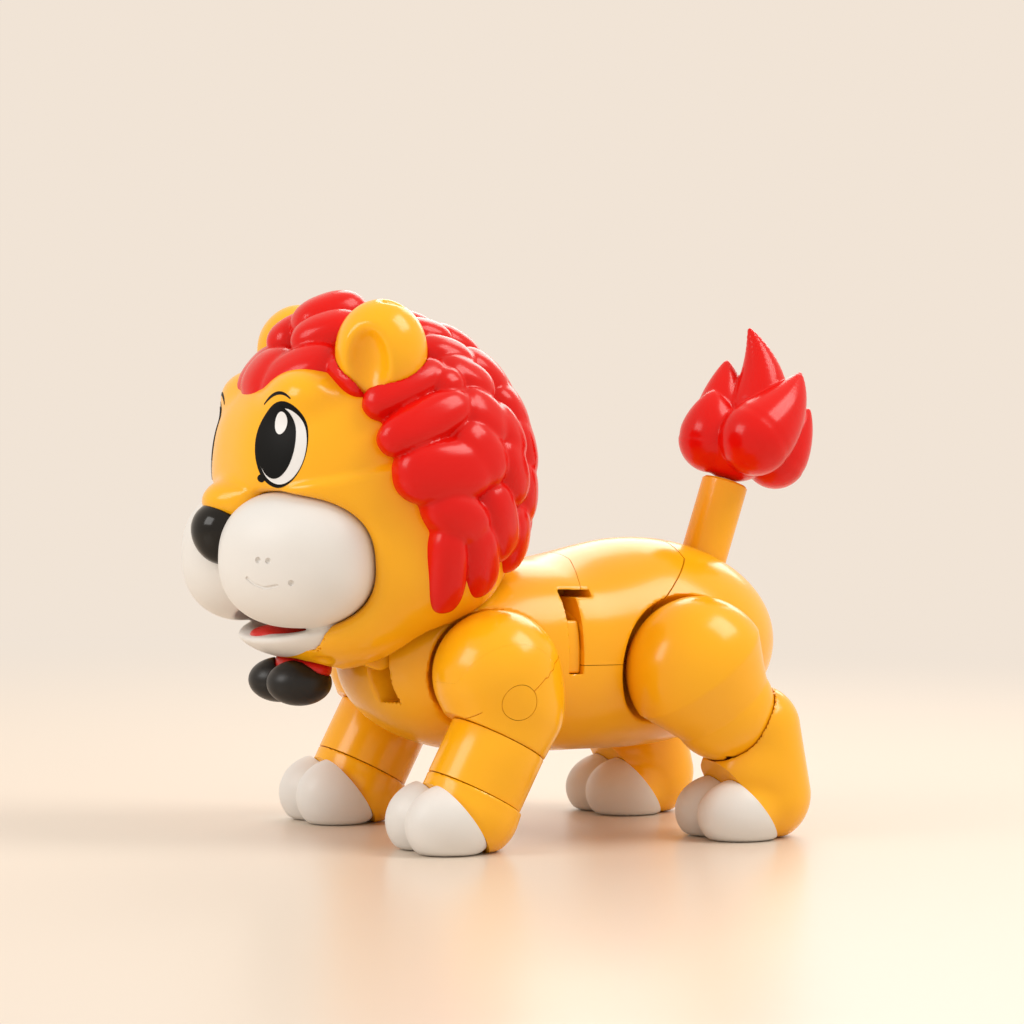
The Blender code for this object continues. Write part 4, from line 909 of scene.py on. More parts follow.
@dataclass
class FrontLegs:
    """Shoulder bulbs, elbows, forearms and paws."""

    shoulder: Triple = (31.0, -18.4, 40.5)
    bulb: float = 15.0
    inner_x: float = 16.5
    plate_x: float = 20.3
    elbow: Triple = (31.0, -19.2, 35.0)
    barrel: float = 13.3
    under_z: float = 39.0
    pin: float = 2.5
    cap: float = 4.05
    ring: Triple = (32.5, -18.5, 25.5)
    lean: float = 26.6
    tube: float = 11.6
    tube_length: float = 13.4
    cuff: float = 11.9
    stem: float = 7.5
    paw: Triple = (32.5, -26.6, 7.6)
    paw_radii: Triple = (12.3, 11.2, 9.4)
    toe: Triple = (32.5, -33.2, 6.8)
    toe_radii: Triple = (8.0, 10.6, 9.4)
    toe_spread: float = 5.6
    toe_seam: Pair = (-36.9, 16.8)
    lower_line: tuple[Pair, Pair] = ((-14.5, -7.2), (-7.6, -2.4))
    upper_line: tuple[Pair, ...] = (
        (3.2, 2.6), (4.4, 3.6), (6.6, 5.5), (7.4, 5.6), (8.2, 6.8), (9.4, 7.3), (10.0, 8.6), (13.0, 10.0)
    )
    line_width: float = 0.28
    line_depth: float = 0.32
    flare: float = 0.6
    bends: Triple = (-18.0, -4.0, 10.0)
    swings: Triple = (-15.0, -2.5, 10.0)
    snug: float = 0.3
    arm_gap: float = 0.35
    cap_gap: float = 0.12
    cap_depths: Pair = (5.0, 5.2)
    cap_sunk: float = 0.04
    pin_gap: float = 0.15
    hairline: float = SEAM / 8
    tube_edge: Pair = (0.35, 0.1)
    cuff_reach: Pair = (-2.0, 2.6)
    arm_low: Triple = (14.0, -36.0, 18.0)
    arm_high: Triple = (48.0, -2.0, 57.0)

    @property
    def down(self) -> np.ndarray:
        """Direction of the forearm, from elbow to paw."""
        angle = math.radians(self.lean)
        return np.array((0.0, -math.sin(angle), -math.cos(angle)))

    def along(self, distance: float) -> Triple:
        """Point on the forearm's axis, from the ring down."""
        return tuple(np.array(self.ring) + self.down * distance)

    def arm_form(self) -> Form:
        """Bulb and elbow as one smooth solid, cut off at the ring.

        Returns:
            The solid.
        """
        bulb = egg(self.shoulder, (self.bulb,) * 3)
        stem = taper(self.along(-self.stem), self.along(0.0), self.tube + self.flare, self.tube)
        whole = bulb.blend(stem, soft=4.0)
        whole = whole.keep(side_of(self.along(-SEAM), tuple(self.down)), edge=0.25)
        return whole.keep(side_of((self.inner_x, 0.0, 0.0), RIGHT), edge=0.3)

    def sweep(self) -> list[Form]:
        """Room that the leg takes through its whole swing.

        Returns:
            The leg in poses over its range, grown by clearances.
        """
        rooms = [egg(self.shoulder, (self.bulb + SOCKET_GAP - self.snug,) * 3)]
        limb = taper(self.along(-self.stem), self.along(self.tube_length), self.tube, self.tube)
        limb = limb.grow(SOCKET_GAP)
        for bend in self.bends:
            rooms += [limb.turned(self.elbow, bend).turned(self.shoulder, swing) for swing in self.swings]
        arm = self.arm_form().grow(self.arm_gap)
        knuckle = arm.keep(side_of((0.0, 0.0, self.under_z), UP))
        for swing in (self.swings[0], 0.0, self.swings[-1]):
            poses = [arm, *(knuckle.turned(self.elbow, bend) for bend in self.bends[::2])]
            rooms += [pose.turned(self.shoulder, swing) for pose in poses]
        return rooms

    def arm_core(self, name: str, depth: float) -> Piece:
        """The arm, a little way below its skin."""
        return Moulder(self.arm_form().grow(-depth), self.arm_low, self.arm_high, step=0.6).mesh(name)

    def parting_line(self) -> Piece:
        """Cutter for the fine parting line that crosses the elbow with a small step.

        Returns:
            The cutter, which only reaches a little way into the skin.
        """
        y, z = self.elbow[1:]
        half = self.line_width / 2

        def slab(name: str, line: Sequence[Pair]) -> Piece:
            """A thin slab through the arm's outer side.

            Args:
                name: Name of the object.
                line: Its route as (y, z) ways from the elbow.

            Returns:
                The slab.
            """
            spots = [(y + a, z + b) for a, b in line]
            sides = [(a, b + half) for a, b in spots] + [(a, b - half) for a, b in spots[::-1]]
            return prism(name, sides, self.shoulder[0], self.shoulder[0] + 2 * self.bulb)

        whole = slab("parting_line", self.upper_line)
        trim(whole, slab("lower_line", self.lower_line), Cut.JOIN)
        return trim(whole, self.arm_core("parting_core", self.line_depth), Cut.AWAY)

    def build_arm(self) -> None:
        """Bulb, elbow moulding and the flush cap of the elbow pin."""
        nodes = ["upper_arm_left", "elbow_knuckle_left"]
        whole = mould("shoulder_bulb_left", self.arm_form(), nodes, step=0.5, margin=2.0)
        trim(whole, self.parting_line(), Cut.AWAY)
        x_end = self.shoulder[0] + 2 * self.bulb
        y, z = self.elbow[1:]

        def bar(name: str, radius: float, start: float) -> Piece:
            """A cutting bar on the elbow axis."""
            profile = [(0.0, 0.0), (radius, 0.0), (radius, x_end - start), (0.0, x_end - start)]
            return lathe(name, (start, y, z), LEFT, profile, FINE_SIDES)

        cap = copy_of(whole, "elbow_cap_left")
        cap_start, room_start = (self.bulb + self.shoulder[0] - depth for depth in self.cap_depths)
        trim(cap, bar("cap_bar", self.cap, cap_start), Cut.KEEP)
        trim(cap, bar("pin_bar", self.pin, self.inner_x), Cut.JOIN)
        trim(cap, self.arm_core("shoulder_core", self.cap_sunk), Cut.KEEP)
        trim(whole, bar("cap_room", self.cap + self.cap_gap, room_start), Cut.AWAY)
        knuckle = copy_of(whole, "elbow_moulding_left")
        wide, foot = 2 * self.bulb, z - 3 * self.bulb
        lower = [(y - wide, foot), (y + wide, foot), (y + wide, self.under_z), (y - wide, self.under_z)]

        def elbow_zone(name: str, grow: float) -> Piece:
            """Zone of the elbow moulding.

            Args:
                name: Name of the object.
                grow: Clearance that it is grown by.

            Returns:
                The zone.
            """
            start = self.plate_x - grow + SEAM
            zone = prism(name, [(a, b + (grow if b > 0 else 0.0)) for a, b in lower], start, x_end)
            return trim(zone, bar(f"{name}_bar", self.barrel + grow, start), Cut.JOIN)

        trim(whole, elbow_zone("arm_zone", self.hairline), Cut.AWAY)
        trim(knuckle, elbow_zone("knuckle_zone", 0.0), Cut.KEEP)
        trim(knuckle, bar("pin_room", self.pin + self.pin_gap, 0.0), Cut.AWAY)
        dress_pair(whole, YELLOW, "arm_{}", "upper_arm_{}")
        dress_pair(knuckle, YELLOW, "knuckle_{}", "elbow_knuckle_{}")
        dress_pair(cap, YELLOW, "arm_{}", "elbow_pin_{}")

    def build_forearm(self) -> None:
        """Straight tube between elbow and paw."""
        radius, length = self.tube, self.tube_length
        edge, fine = self.tube_edge
        profile = [
            (0.0, 0.0), (radius - edge, 0.0), (radius - fine, fine), (radius, edge), (radius, length / 2),
            (radius, length - fine), (radius - fine, length), (0.0, length),
        ]
        tube = lathe("forearm_tube_left", self.ring, tuple(self.down), profile, FINE_SIDES)
        dress_pair(tube, YELLOW, "front_foot_{}", "forearm_{}")

    def paw_form(self) -> Form:
        """Paw with its cuff, before the toes are parted off.

        Returns:
            The solid.
        """
        ends = (self.along(self.tube_length + reach) for reach in self.cuff_reach)
        cuff = taper(*ends, self.cuff, self.cuff - self.flare)
        whole = egg(self.paw, self.paw_radii).blend(cuff, soft=4.0)
        return whole.keep(side_of(self.along(self.tube_length + SEAM), tuple(-self.down)), edge=0.5)

    def build_paw(self) -> None:
        """Paw and its two white toes."""
        nodes = ["front_paw_left", "front_toes_left"]
        paw = mould("paw_moulding_left", self.paw_form().keep(FLOOR, edge=0.9), nodes, step=0.5)
        toes = two_toes("front_toe_cap_left", self.toe, self.toe_radii, self.toe_spread, nodes)
        part_toes(paw, toes, self.toe_seam)
        dress_pair(paw, YELLOW, "front_foot_{}", "front_paw_{}")
        dress_pair(toes, WHITE, "front_foot_{}", "front_toes_{}")

    def build(self) -> None:
        """Both front legs."""
        self.build_arm()
        self.build_forearm()
        self.build_paw()


FLOOR = side_of((0.0, 0.0, 0.0), DOWN)
TOE_SLOPE = math.radians(38.0)


def two_toes(name: str, place: Triple, radii: Triple, spread: float, nodes: Sequence[str]) -> Piece:
    """Two rounded toes with a soft groove between them, flat on the floor.

    Args:
        name: Name of the object.
        place: Middle of the pair.
        radii: Half sizes of one toe.
        spread: Half the way between the toes.
        nodes: Frame nodes that give the room.

    Returns:
        The toes.
    """
    x, y, z = place
    pair = egg((x - spread, y, z), radii).blend(egg((x + spread, y, z), radii), soft=1.6)
    return mould(name, pair.keep(FLOOR, edge=1.4), nodes, step=0.5)


def part_toes(paw: Piece, toes: Piece, seam: Pair) -> None:
    """Part a paw from its toes along their slanted seam.

    Args:
        paw: The paw, which keeps what is behind the seam.
        toes: The toes, which keep what is in front.
        seam: Upper end of the seam as (y, z).
    """
    y, z = seam
    along = np.array((math.sin(TOE_SLOPE), -math.cos(TOE_SLOPE))) * FAR
    ahead = np.array((-math.cos(TOE_SLOPE), -math.sin(TOE_SLOPE)))

    def zone(name: str, gap: float) -> Piece:
        """Everything in front of the seam.

        Args:
            name: Name of the object.
            gap: How far in front of the seam it starts.

        Returns:
            The zone.
        """
        start = np.array((y, z)) + ahead * gap
        corners = [start - along, start + along, start + along + ahead * FAR, start - along + ahead * FAR]
        return prism(name, [tuple(corner) for corner in corners], 0.0, FAR)

    trim(paw, zone("paw_zone", 0.0), Cut.AWAY)
    trim(toes, zone("toe_zone", SEAM), Cut.KEEP)


@dataclass
class HindLegs:
    """Thighs, shins with their feet, and toes."""

    hip: Triple = (31.0, 35.0, 40.5)
    hip_radius: float = 17.8
    knee: Triple = (31.0, 41.8, 31.8)
    knee_radius: float = 13.0
    flatten: float = 1.17
    inner_x: float = 16.5
    tongue: float = 8.5
    tongue_half: float = 4.0
    shin: Triple = (30.0, 51.9, 26.2)
    shin_radius: float = 10.6
    instep: Triple = (29.4, 48.2, 16.0)
    instep_radii: Triple = (10.6, 9.6, 7.4)
    heel: Triple = (29.2, 54.6, 10.2)
    heel_radius: float = 11.5
    foot: Triple = (29.2, 46.4, 6.6)
    foot_radii: Triple = (12.6, 9.8, 8.6)
    toe: Triple = (29.2, 45.6, 6.0)
    toe_radii: Triple = (8.0, 11.4, 8.8)
    toe_spread: float = 5.6
    toe_seam: Pair = (42.0, 15.2)
    swings: tuple[float, ...] = (-12.0, -6.0, 0.0, 6.0, 12.0)
    bends: tuple[float, ...] = (-14.0, -7.0, 0.0, 7.0, 14.0)
    snug: float = 0.1
    calf_gap: float = 0.5
    slot_gap: float = 0.7
    shin_gap: float = 0.14

    def egg_form(self) -> Form:
        """The thigh's egg, round at the hip and smaller at the knee.

        Returns:
            The solid.
        """
        limb = taper(self.hip, self.knee, self.hip_radius, self.knee_radius)
        squeeze = np.array((self.flatten, 1.0, 1.0))
        return Form(lambda points: limb((points - self.hip) * squeeze + self.hip))

    def sweep(self) -> list[Form]:
        """Room that the thigh and the raised shin take through their swing.

        Returns:
            The thigh and the shin in poses over their ranges, grown by clearances.
        """
        grown = self.egg_form().grow(SOCKET_GAP - self.snug)
        calf = taper(self.shin, self.heel, self.shin_radius, self.shin_radius).grow(self.calf_gap)
        raised = [calf.turned(self.knee, bend).turned(self.hip, self.swings[-1]) for bend in self.bends[::2]]
        return [grown.turned(self.hip, swing) for swing in self.swings] + raised

    def tongue_form(self, grow: float) -> Form:
        """Hinge tongue of the shin, grown by a clearance."""
        route = (self.knee[1:], self.shin[1:])
        return bent_bar(route, self.tongue + grow, self.hip[0], self.tongue_half + grow)

    def build(self) -> None:
        """Both hind legs."""
        slot = [self.tongue_form(self.slot_gap).turned(self.knee, bend) for bend in self.bends]
        thigh_form = self.egg_form().keep(side_of((self.inner_x, 0.0, 0.0), RIGHT), edge=0.4)
        thigh = mould("thigh_moulding_left", thigh_form.carve(*slot, edge=0.3), ["thigh_left"], step=0.55)
        dress_pair(thigh, YELLOW, "thigh_body_{}", "thigh_{}")
        foot = taper(self.shin, self.heel, self.shin_radius, self.heel_radius)
        foot = foot.blend(egg(self.instep, self.instep_radii), soft=4.0)
        foot = foot.blend(egg(self.foot, self.foot_radii), soft=2.5).keep(FLOOR, edge=1.0)
        room = [self.egg_form().grow(self.shin_gap).turned(self.knee, -bend) for bend in self.bends]
        foot = foot.carve(*room, edge=0.25).blend(self.tongue_form(0.0), soft=0.4)
        nodes = ["shin_left", "hind_toes_left"]
        shin = mould("shin_moulding_left", foot, nodes, step=0.5)
        toes = two_toes("hind_toe_cap_left", self.toe, self.toe_radii, self.toe_spread, nodes)
        part_toes(shin, toes, self.toe_seam)
        dress_pair(shin, YELLOW, "hind_foot_{}", "shin_{}")
        dress_pair(toes, WHITE, "hind_foot_{}", "hind_toes_{}")


@dataclass
class NeckYoke:
    """Bar on the nod axis whose arms show in the chest slots."""

    nod: Triple = (0.0, -24.0, 50.0)
    bend: Pair = (-40.5, 43.2)
    tip: Pair = (-51.2, 47.4)
    arm_x: float = 12.4
    arm_half: float = 2.0
    arm_height: float = 2.6
    bar: float = 3.4
    neck: float = 26.5
    swing: float = 7.0
    slot_low: Triple = (9.6, -60.0, 33.0)
    slot_high: Triple = (15.2, -30.0, 47.5)
    slot_gap: float = 0.9
    bar_gap: float = 0.4

    def arm(self, grow: float) -> Form:
        """One arm, grown by a clearance."""
        route = (self.nod[1:], self.bend, self.tip)
        return bent_bar(route, self.arm_height + grow, self.arm_x, self.arm_half + grow)

    def cross_bar(self, grow: float) -> Form:
        """The bar on the nod axis, grown by a clearance."""
        _, y, z = self.nod
        return rod((-self.arm_x, y, z), (self.arm_x, y, z), self.bar + grow)

    def slots(self) -> list[Form]:
        """Room in the chest for the rocking arms and the bar.

        Returns:
            The rooms.
        """
        arm = self.arm(self.slot_gap)
        arms = [arm.turned(self.nod, swing) for swing in (-self.swing, 0.0, self.swing)]
        return [*arms, block(self.slot_low, self.slot_high, edge=0.8), self.cross_bar(self.bar_gap)]

    def build(self) -> None:
        """The yoke."""
        whole = self.arm(0.0).both_sides().blend(self.cross_bar(0.0), soft=0.8)
        dress(mould("yoke_bar", whole, ["neck_yoke"], step=0.45), YELLOW, "head", "neck_yoke")


@dataclass
class Torso:
    """Chest, saddle and rump shells with the side latches."""

    front: FrontLegs
    hind: HindLegs
    yoke: NeckYoke
    tail: "Tail"
    chest: Triple = (0.0, -12.4, 43.0)
    chest_radii: Triple = (29.3, 30.6, 21.5)
    barrel: Triple = (0.0, 6.0, 42.9)
    barrel_radii: Triple = (29.5, 47.0, 23.3)
    boxy: float = 2.35
    rump: Triple = (0.0, 33.0, 46.0)
    rump_radii: Triple = (28.6, 37.2, 25.4)
    slot_y: Pair = (1.4, 5.0)
    slot_z: Pair = (40.0, 59.6)
    slot_arm: Pair = (4.5, 1.8)
    latch_x: float = 20.0
    latch_height: float = 12.5
    recess: float = 1.4
    saddle_front: tuple[Pair, ...] = ((10.7, 66.3), (10.0, 65.4), (9.2, 64.0), (8.2, 62.0))
    saddle_low: float = 42.0
    rump_corner: Pair = (39.0, 66.6)
    rump_low: Pair = (26.5, 55.6)
    hip_y: float = 35.0
    seam_run: float = 2.4
    rump_foot: Pair = (55.0, 14.0)
    latch_gap: float = 0.2
    tail_hole: float = 6.15
    hole_reach: Triple = (-16.0, -8.0, 20.0)
    collar_room: float = 3.0
    screw_room: Pair = (2.9, 1.8)

    def body(self) -> Form:
        """The whole trunk, without its openings."""
        chest, rump = egg(self.chest, self.chest_radii), egg(self.rump, self.rump_radii)
        return egg(self.barrel, self.barrel_radii, power=self.boxy).blend(chest, rump, soft=5.0)

    def latch_form(self) -> Form:
        """Sliding tab of one side latch, which follows the body's curve a little below its skin.

        Returns:
            The solid.
        """
        (front, rear), (low, _) = self.slot_y, self.slot_z
        start = (self.latch_x, front + self.latch_gap, low + self.latch_gap)
        shaft = block(start, (FAR, rear - self.latch_gap, low + self.latch_height), edge=0.35)
        return shaft.keep(self.body().grow(-self.recess), edge=0.4)

    def openings(self) -> list[Form]:
        """Latch slots, tail hole and screw recesses, on the left and in the middle.

        Returns:
            The rooms.
        """
        (front, rear), (low, high) = self.slot_y, self.slot_z
        length, height = self.slot_arm
        deep = self.latch_x / 2
        axis = self.tail.axis()
        bottom, ledge, top = (tuple(np.array(self.tail.base) + axis * reach) for reach in self.hole_reach)
        rooms = [
            block((deep, front, low), (FAR, rear, high), edge=0.3),
            block((deep, front, high - height), (FAR, rear + length, high), edge=0.3),
            rod(bottom, top, self.tail_hole),
            rod(bottom, ledge, self.tail_hole + self.collar_room),
        ]
        radius, depth = self.screw_room
        for screw in ("belly_screw_front", "belly_screw_rear"):
            low_corner, high_corner = (np.array(corner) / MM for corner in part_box(screw))
            x, y, _ = (low_corner + high_corner) / 2
            rooms.append(rod((x, y, 0.0), (x, y, low_corner[2] + depth), radius))
        return rooms

    def build(self) -> None:
        """The three shells and both latches."""
        sockets = [room for leg in (self.front, self.hind) for room in leg.sweep()]
        whole = self.body().carve(*sockets, edge=0.9)
        whole = whole.carve(*self.yoke.slots(), *self.openings(), edge=0.35).both_sides()
        nodes = ["chest_shell", "saddle_shell", "rump_cover"]
        chest = mould("chest_moulding", whole, nodes, step=0.55)
        self.split(chest)
        latch = mould("latch_tab_left", self.latch_form(), ["side_latch_left"], step=0.3)
        dress_pair(latch, YELLOW, "latch_{}", "side_latch_{}")

    def split(self, chest: Piece) -> None:
        """Part the trunk into chest, saddle and rump along their seams.

        Args:
            chest: The whole trunk, which keeps the chest and belly.
        """
        rear, top = self.slot_y[1], self.slot_z[1]
        saddle_zone = [
            (self.saddle_front[0][0], BEYOND), *self.saddle_front, (rear + self.seam_run, top),
            (rear, top - self.slot_arm[1]), (rear, self.saddle_low), (self.hip_y, self.saddle_low),
            self.rump_low, self.rump_corner, (self.rump_corner[0], BEYOND),
        ]
        rump_zone = [
            (self.rump_corner[0], BEYOND), self.rump_corner, self.rump_low, (self.hip_y, self.saddle_low),
            self.rump_foot, (BEYOND, self.rump_foot[1]), (BEYOND, BEYOND),
        ]
        for name, node, outline in (
            ("saddle_moulding", "saddle_shell", saddle_zone), ("rump_moulding", "rump_cover", rump_zone)
        ):
            made = copy_of(chest, name)
            trim(made, prism("zone", inset(outline, SEAM), -FAR, FAR), Cut.KEEP)
            trim(chest, prism("zone", outline, -FAR, FAR), Cut.AWAY)
            dress(made, YELLOW, "torso", node)
        dress(chest, YELLOW, "torso", "chest_shell")


def inset(outline: Sequence[Pair], amount: float) -> list[Pair]:
    """An outline moved inwards by an amount.

    Args:
        outline: Corners in order.
        amount: How far each side moves in.

    Returns:
        The smaller outline.
    """
    spots = [Vector(spot) for spot in outline]
    area = sum(a.x * b.y - b.x * a.y for a, b in zip(spots, spots[1:] + spots[:1]))
    made = []
    for k, spot in enumerate(spots):
        before = (spot - spots[k - 1]).normalized()
        after = (spots[(k + 1) % len(spots)] - spot).normalized()
        turn = math.copysign(1.0, area)
        normals = [Vector((-run.y, run.x)) * turn for run in (before, after)]
        shift = (normals[0] + normals[1]) / (1.0 + normals[0].dot(normals[1]))
        made.append(tuple(spot + shift * amount))
    return made


@dataclass(frozen=True)
class Lock:
    """One rounded lock of the mane on the lion's left, or on its middle."""

    place: Triple
    half_length: float
    half_width: float
    lean: float
    rise: float = 0.0


MANE_LOCKS = (
    Lock((33.5, -43.0, 109.6), 11.5, 5.2, 24.0),
    Lock((39.0, -39.6, 100.6), 12.6, 5.6, 25.0),
    Lock((42.0, -34.4, 87.8), 12.3, 8.0, 4.0),
    Lock((41.0, -30.6, 76.5), 9.0, 6.0, -30.0),
    Lock((38.5, -32.6, 63.2), 11.0, 5.0, -84.0),
    Lock((37.0, -22.5, 66.0), 10.5, 5.6, -72.0),
    Lock((36.0, -16.5, 75.0), 10.5, 6.2, -66.0),
    Lock((40.0, -24.0, 92.5), 9.2, 7.0, -46.0),
    Lock((36.0, -22.0, 102.0), 8.6, 6.8, -30.0),
    Lock((33.5, -32.0, 109.5), 4.6, 4.2, 20.0),
    Lock((30.0, -24.5, 111.5), 8.6, 5.6, -16.0),
    Lock((24.5, -28.0, 117.5), 8.2, 5.4, -8.0),
    Lock((15.5, -30.0, 122.5), 7.6, 5.2, 0.0),
    Lock((32.5, -14.0, 97.5), 8.8, 6.0, -44.0),
    Lock((34.0, -12.5, 88.0), 9.4, 6.0, -58.0),
    Lock((24.0, -55.0, 111.0), 6.8, 3.8, -72.0),
    Lock((11.0, -62.0, 110.6), 11.0, 7.0, -30.0, 1.4),
    Lock((0.0, -65.2, 110.2), 8.4, 9.6, 0.0, 1.8),
    Lock((10.5, -55.0, 122.0), 9.0, 5.8, -28.0, 3.6),
    Lock((21.0, -14.0, 114.0), 8.6, 6.4, -10.0),
    Lock((24.0, -5.5, 104.5), 8.8, 6.4, -28.0),
    Lock((24.0, -4.0, 94.0), 9.4, 6.6, -50.0),
    Lock((25.0, -4.5, 82.0), 9.4, 6.4, -70.0),
    Lock((27.0, -8.5, 71.0), 9.0, 6.2, -80.0),
    Lock((9.0, -38.0, 125.0), 8.4, 5.8, 0.0),
    Lock((9.0, -18.0, 121.0), 8.6, 6.2, 0.0),
    Lock((10.0, -5.0, 111.0), 8.8, 6.4, 0.0),
    Lock((9.0, 1.0, 99.5), 9.0, 6.4, 0.0),
    Lock((9.0, 2.0, 87.0), 9.0, 6.2, 0.0),
    Lock((10.0, 1.0, 75.0), 9.0, 6.0, 0.0),
    Lock((0.0, -50.0, 126.5), 9.4, 7.0, 0.0, 5.0),
    Lock((0.0, -28.0, 125.0), 8.0, 5.6, 0.0),
)


@dataclass
class Head:
    """Face, muzzle, nose, tongue, ears, mane and the printed eyes."""

    torso: Torso
    yoke: NeckYoke
    helmet: "FoldedHelmet"
    cranium: Triple = (0.0, -39.8, 86.0)
    cranium_radii: Triple = (32.3, 34.3, 29.6)
    boxy: float = 2.5
    jowl: Triple = (0.0, -35.0, 66.5)
    jowl_radii: Triple = (33.6, 27.6, 21.6)
    chin: Triple = (0.0, -49.0, 52.0)
    chin_radii: Triple = (25.0, 15.6, 10.2)
    snout: Triple = (0.0, -68.6, 79.6)
    snout_radii: Triple = (10.4, 10.8, 6.2)
    cheek_step: float = 1.5
    ridge: Pair = (-72.0, 83.2)
    ridge_slope: float = 0.22
    brow: Triple = (15.0, -61.5, 104.0)
    brow_radii: Triple = (10.0, 7.3, 6.4)
    cheek: Triple = (15.3, -62.0, 66.8)
    cheek_radii: Triple = (18.6, 15.2, 16.0)
    cheek_turn: float = 41.0
    cheek_full: float = 2.3
    rolled: float = 5.0
    lip: Triple = (0.0, -55.8, 50.4)
    lip_radii: Triple = (21.2, 13.6, 7.6)
    lip_wall: float = 3.0
    lip_seam: float = 46.0
    lip_rim: Pair = (-68.5, 47.6)
    mouth: Triple = (0.0, -57.0, 51.6)
    mouth_radii: Triple = (17.5, 13.0, 5.6)
    rim_slope: float = 0.34
    bowl_rise: float = 1.6
    cavity_back: float = 2.0
    nose: Triple = (0.0, -75.2, 73.6)
    nose_radii: Triple = (7.6, 6.8, 6.2)
    nose_foot: Triple = (0.0, -74.6, 70.6)
    nose_foot_radii: Triple = (4.6, 5.8, 5.6)
    tongue: Triple = (0.0, -57.6, 48.4)
    tongue_radii: Triple = (9.0, 9.4, 2.6)
    groove: tuple[Triple, Triple] = ((0.0, -69.6, 51.4), (0.0, -53.6, 51.6))
    groove_radius: float = 0.8
    dimples: tuple[Triple, ...] = ((23.2, -75.2, 66.8), (25.2, -73.5, 66.7), (28.8, -69.3, 61.8))
    dimple_radius: float = 0.75
    crease: tuple[Triple, ...] = (
        (20.4, -76.7, 62.6), (21.8, -75.5, 61.3), (23.7, -73.8, 60.5), (26.3, -71.7, 61.1)
    )
    crease_radius: float = 0.42
    marks_low: Triple = (18.0, -80.0, 57.0)
    marks_high: Triple = (36.0, -58.0, 72.0)
    ear: Triple = (24.5, -46.0, 114.8)
    ear_radii: Triple = (10.6, 10.6, 12.0)
    scoop: Triple = (31.8, -53.2, 111.2)
    scoop_radii: Triple = (5.0, 5.4, 8.4)
    pinch: Triple = (27.4, -43.6, 126.2)
    pinch_radii: Triple = (1.3, 3.4, 1.6)
    ear_turn: float = 44.0
    mane: Triple = (0.0, -36.0, 86.0)
    mane_radii: Triple = (42.0, 38.0, 40.0)
    mane_skirt: float = 54.0
    mane_tilt: float = 23.0
    mane_front: float = -43.0
    cap_below: float = 4.4
    lock_thick: Pair = (0.62, 2.2)
    lock_full: float = 2.4
    nook_low: Triple = (13.0, -72.0, 30.0)
    nook_high: Triple = (42.0, -53.0, 44.0)
    sunk: float = 1.2
    clear: float = 3.4
    bulb_clear: float = 2.2
    yoke_gap: float = 0.15
    trunk_gap: float = 0.3
    lip_gap: float = 0.12

    def face_form(self) -> Form:
        """Cranium, jowls, chin and snout bridge, before anything is let into them.

        Returns:
            The solid.
        """
        skull = egg(self.cranium, self.cranium_radii, power=self.boxy)
        brow = egg(self.brow, self.brow_radii).both_sides()
        snout = egg(self.snout, self.snout_radii)
        jowl = egg(self.jowl, self.jowl_radii).blend(egg(self.chin, self.chin_radii), soft=9.0)
        ridge = side_of((0.0, *self.ridge), (0.0, -self.ridge_slope, 1.0))
        lower = skull.blend(jowl, soft=6.0).grow(self.cheek_step).keep(ridge, edge=2.4)
        whole = skull.blend(brow, soft=4.0).blend(lower, soft=0.8)
        return whole.carve(self.cheek_form().both_sides(), edge=self.rolled).blend(snout, soft=2.4)

    def neck_room(self) -> Form:
        """Room at the back of the jaw for the neck."""
        return egg(self.yoke.nod, (self.yoke.neck,) * 3)

    def cheek_form(self) -> Form:
        """Left cheek of the muzzle, drawn out from the middle towards the side."""
        turn = np.array(Matrix.Rotation(math.radians(self.cheek_turn), 3, "Z"))
        return egg(self.cheek, self.cheek_radii, turn, self.cheek_full)

    def lip_egg(self) -> Form:
        """Lower lip before it is hollowed, cut off along its rim."""
        rim = side_of((0.0, *self.lip_rim), (0.0, -self.rim_slope, 1.0))
        return egg(self.lip, self.lip_radii).keep(rim, edge=1.6)

    def muzzle_form(self) -> Form:
        """Two cheeks and a spoon-shaped lower lip.

        Returns:
            The solid.
        """
        cheeks = self.cheek_form().paired(soft=1.6)
        x, y, z = self.lip
        bowl = egg((x, y, z + self.bowl_rise), tuple(radius - self.lip_wall for radius in self.lip_radii))
        lip = self.lip_egg().carve(bowl, edge=1.2)
        mouth = egg(self.mouth, self.mouth_radii)
        return cheeks.carve(mouth, edge=1.0).blend(lip, soft=1.0)

    def ear_form(self) -> Form:
        """Left ear with its scooped front and pinched tip.

        Returns:
            The solid.
        """
        turn = np.array(Matrix.Rotation(math.radians(self.ear_turn), 3, "Z"))
        ear = egg(self.ear, self.ear_radii).carve(egg(self.scoop, self.scoop_radii, turn), edge=2.6)
        return ear.carve(egg(self.pinch, self.pinch_radii), edge=1.4)

    def lock_lobe(self, lock: Lock) -> tuple[np.ndarray, float, Form]:
        """Solid of one lock, laid on the mane's rounded base.

        Args:
            lock: The lock.

        Returns:
            Its middle, its outer radius and its solid.
        """
        base, size = np.array(self.mane), np.array(self.mane_radii)
        away = np.array(lock.place) - base
        if away[2] < 0.0:
            size[2] = self.mane_skirt
        normal = Vector(away / size**2).normalized()
        share, extra = self.lock_thick
        thick = share * lock.half_width + extra
        spot = base + away / np.linalg.norm(away / size) - np.array(normal) * (thick - lock.rise)
        back = Vector((0.0, 1.0, 0.0))
        back = (back - normal * back.dot(normal)).normalized()
        up = normal.cross(back) * (1.0 if normal.cross(back).z >= 0.0 else -1.0)
        lean = math.radians(lock.lean)
        run = back * math.cos(lean) + up * math.sin(lean)
        turn = np.array((run.cross(normal), run, normal)).T
        solid = egg(tuple(spot), (lock.half_width, lock.half_length, thick), turn, self.lock_full)
        return spot, lock.half_length, solid

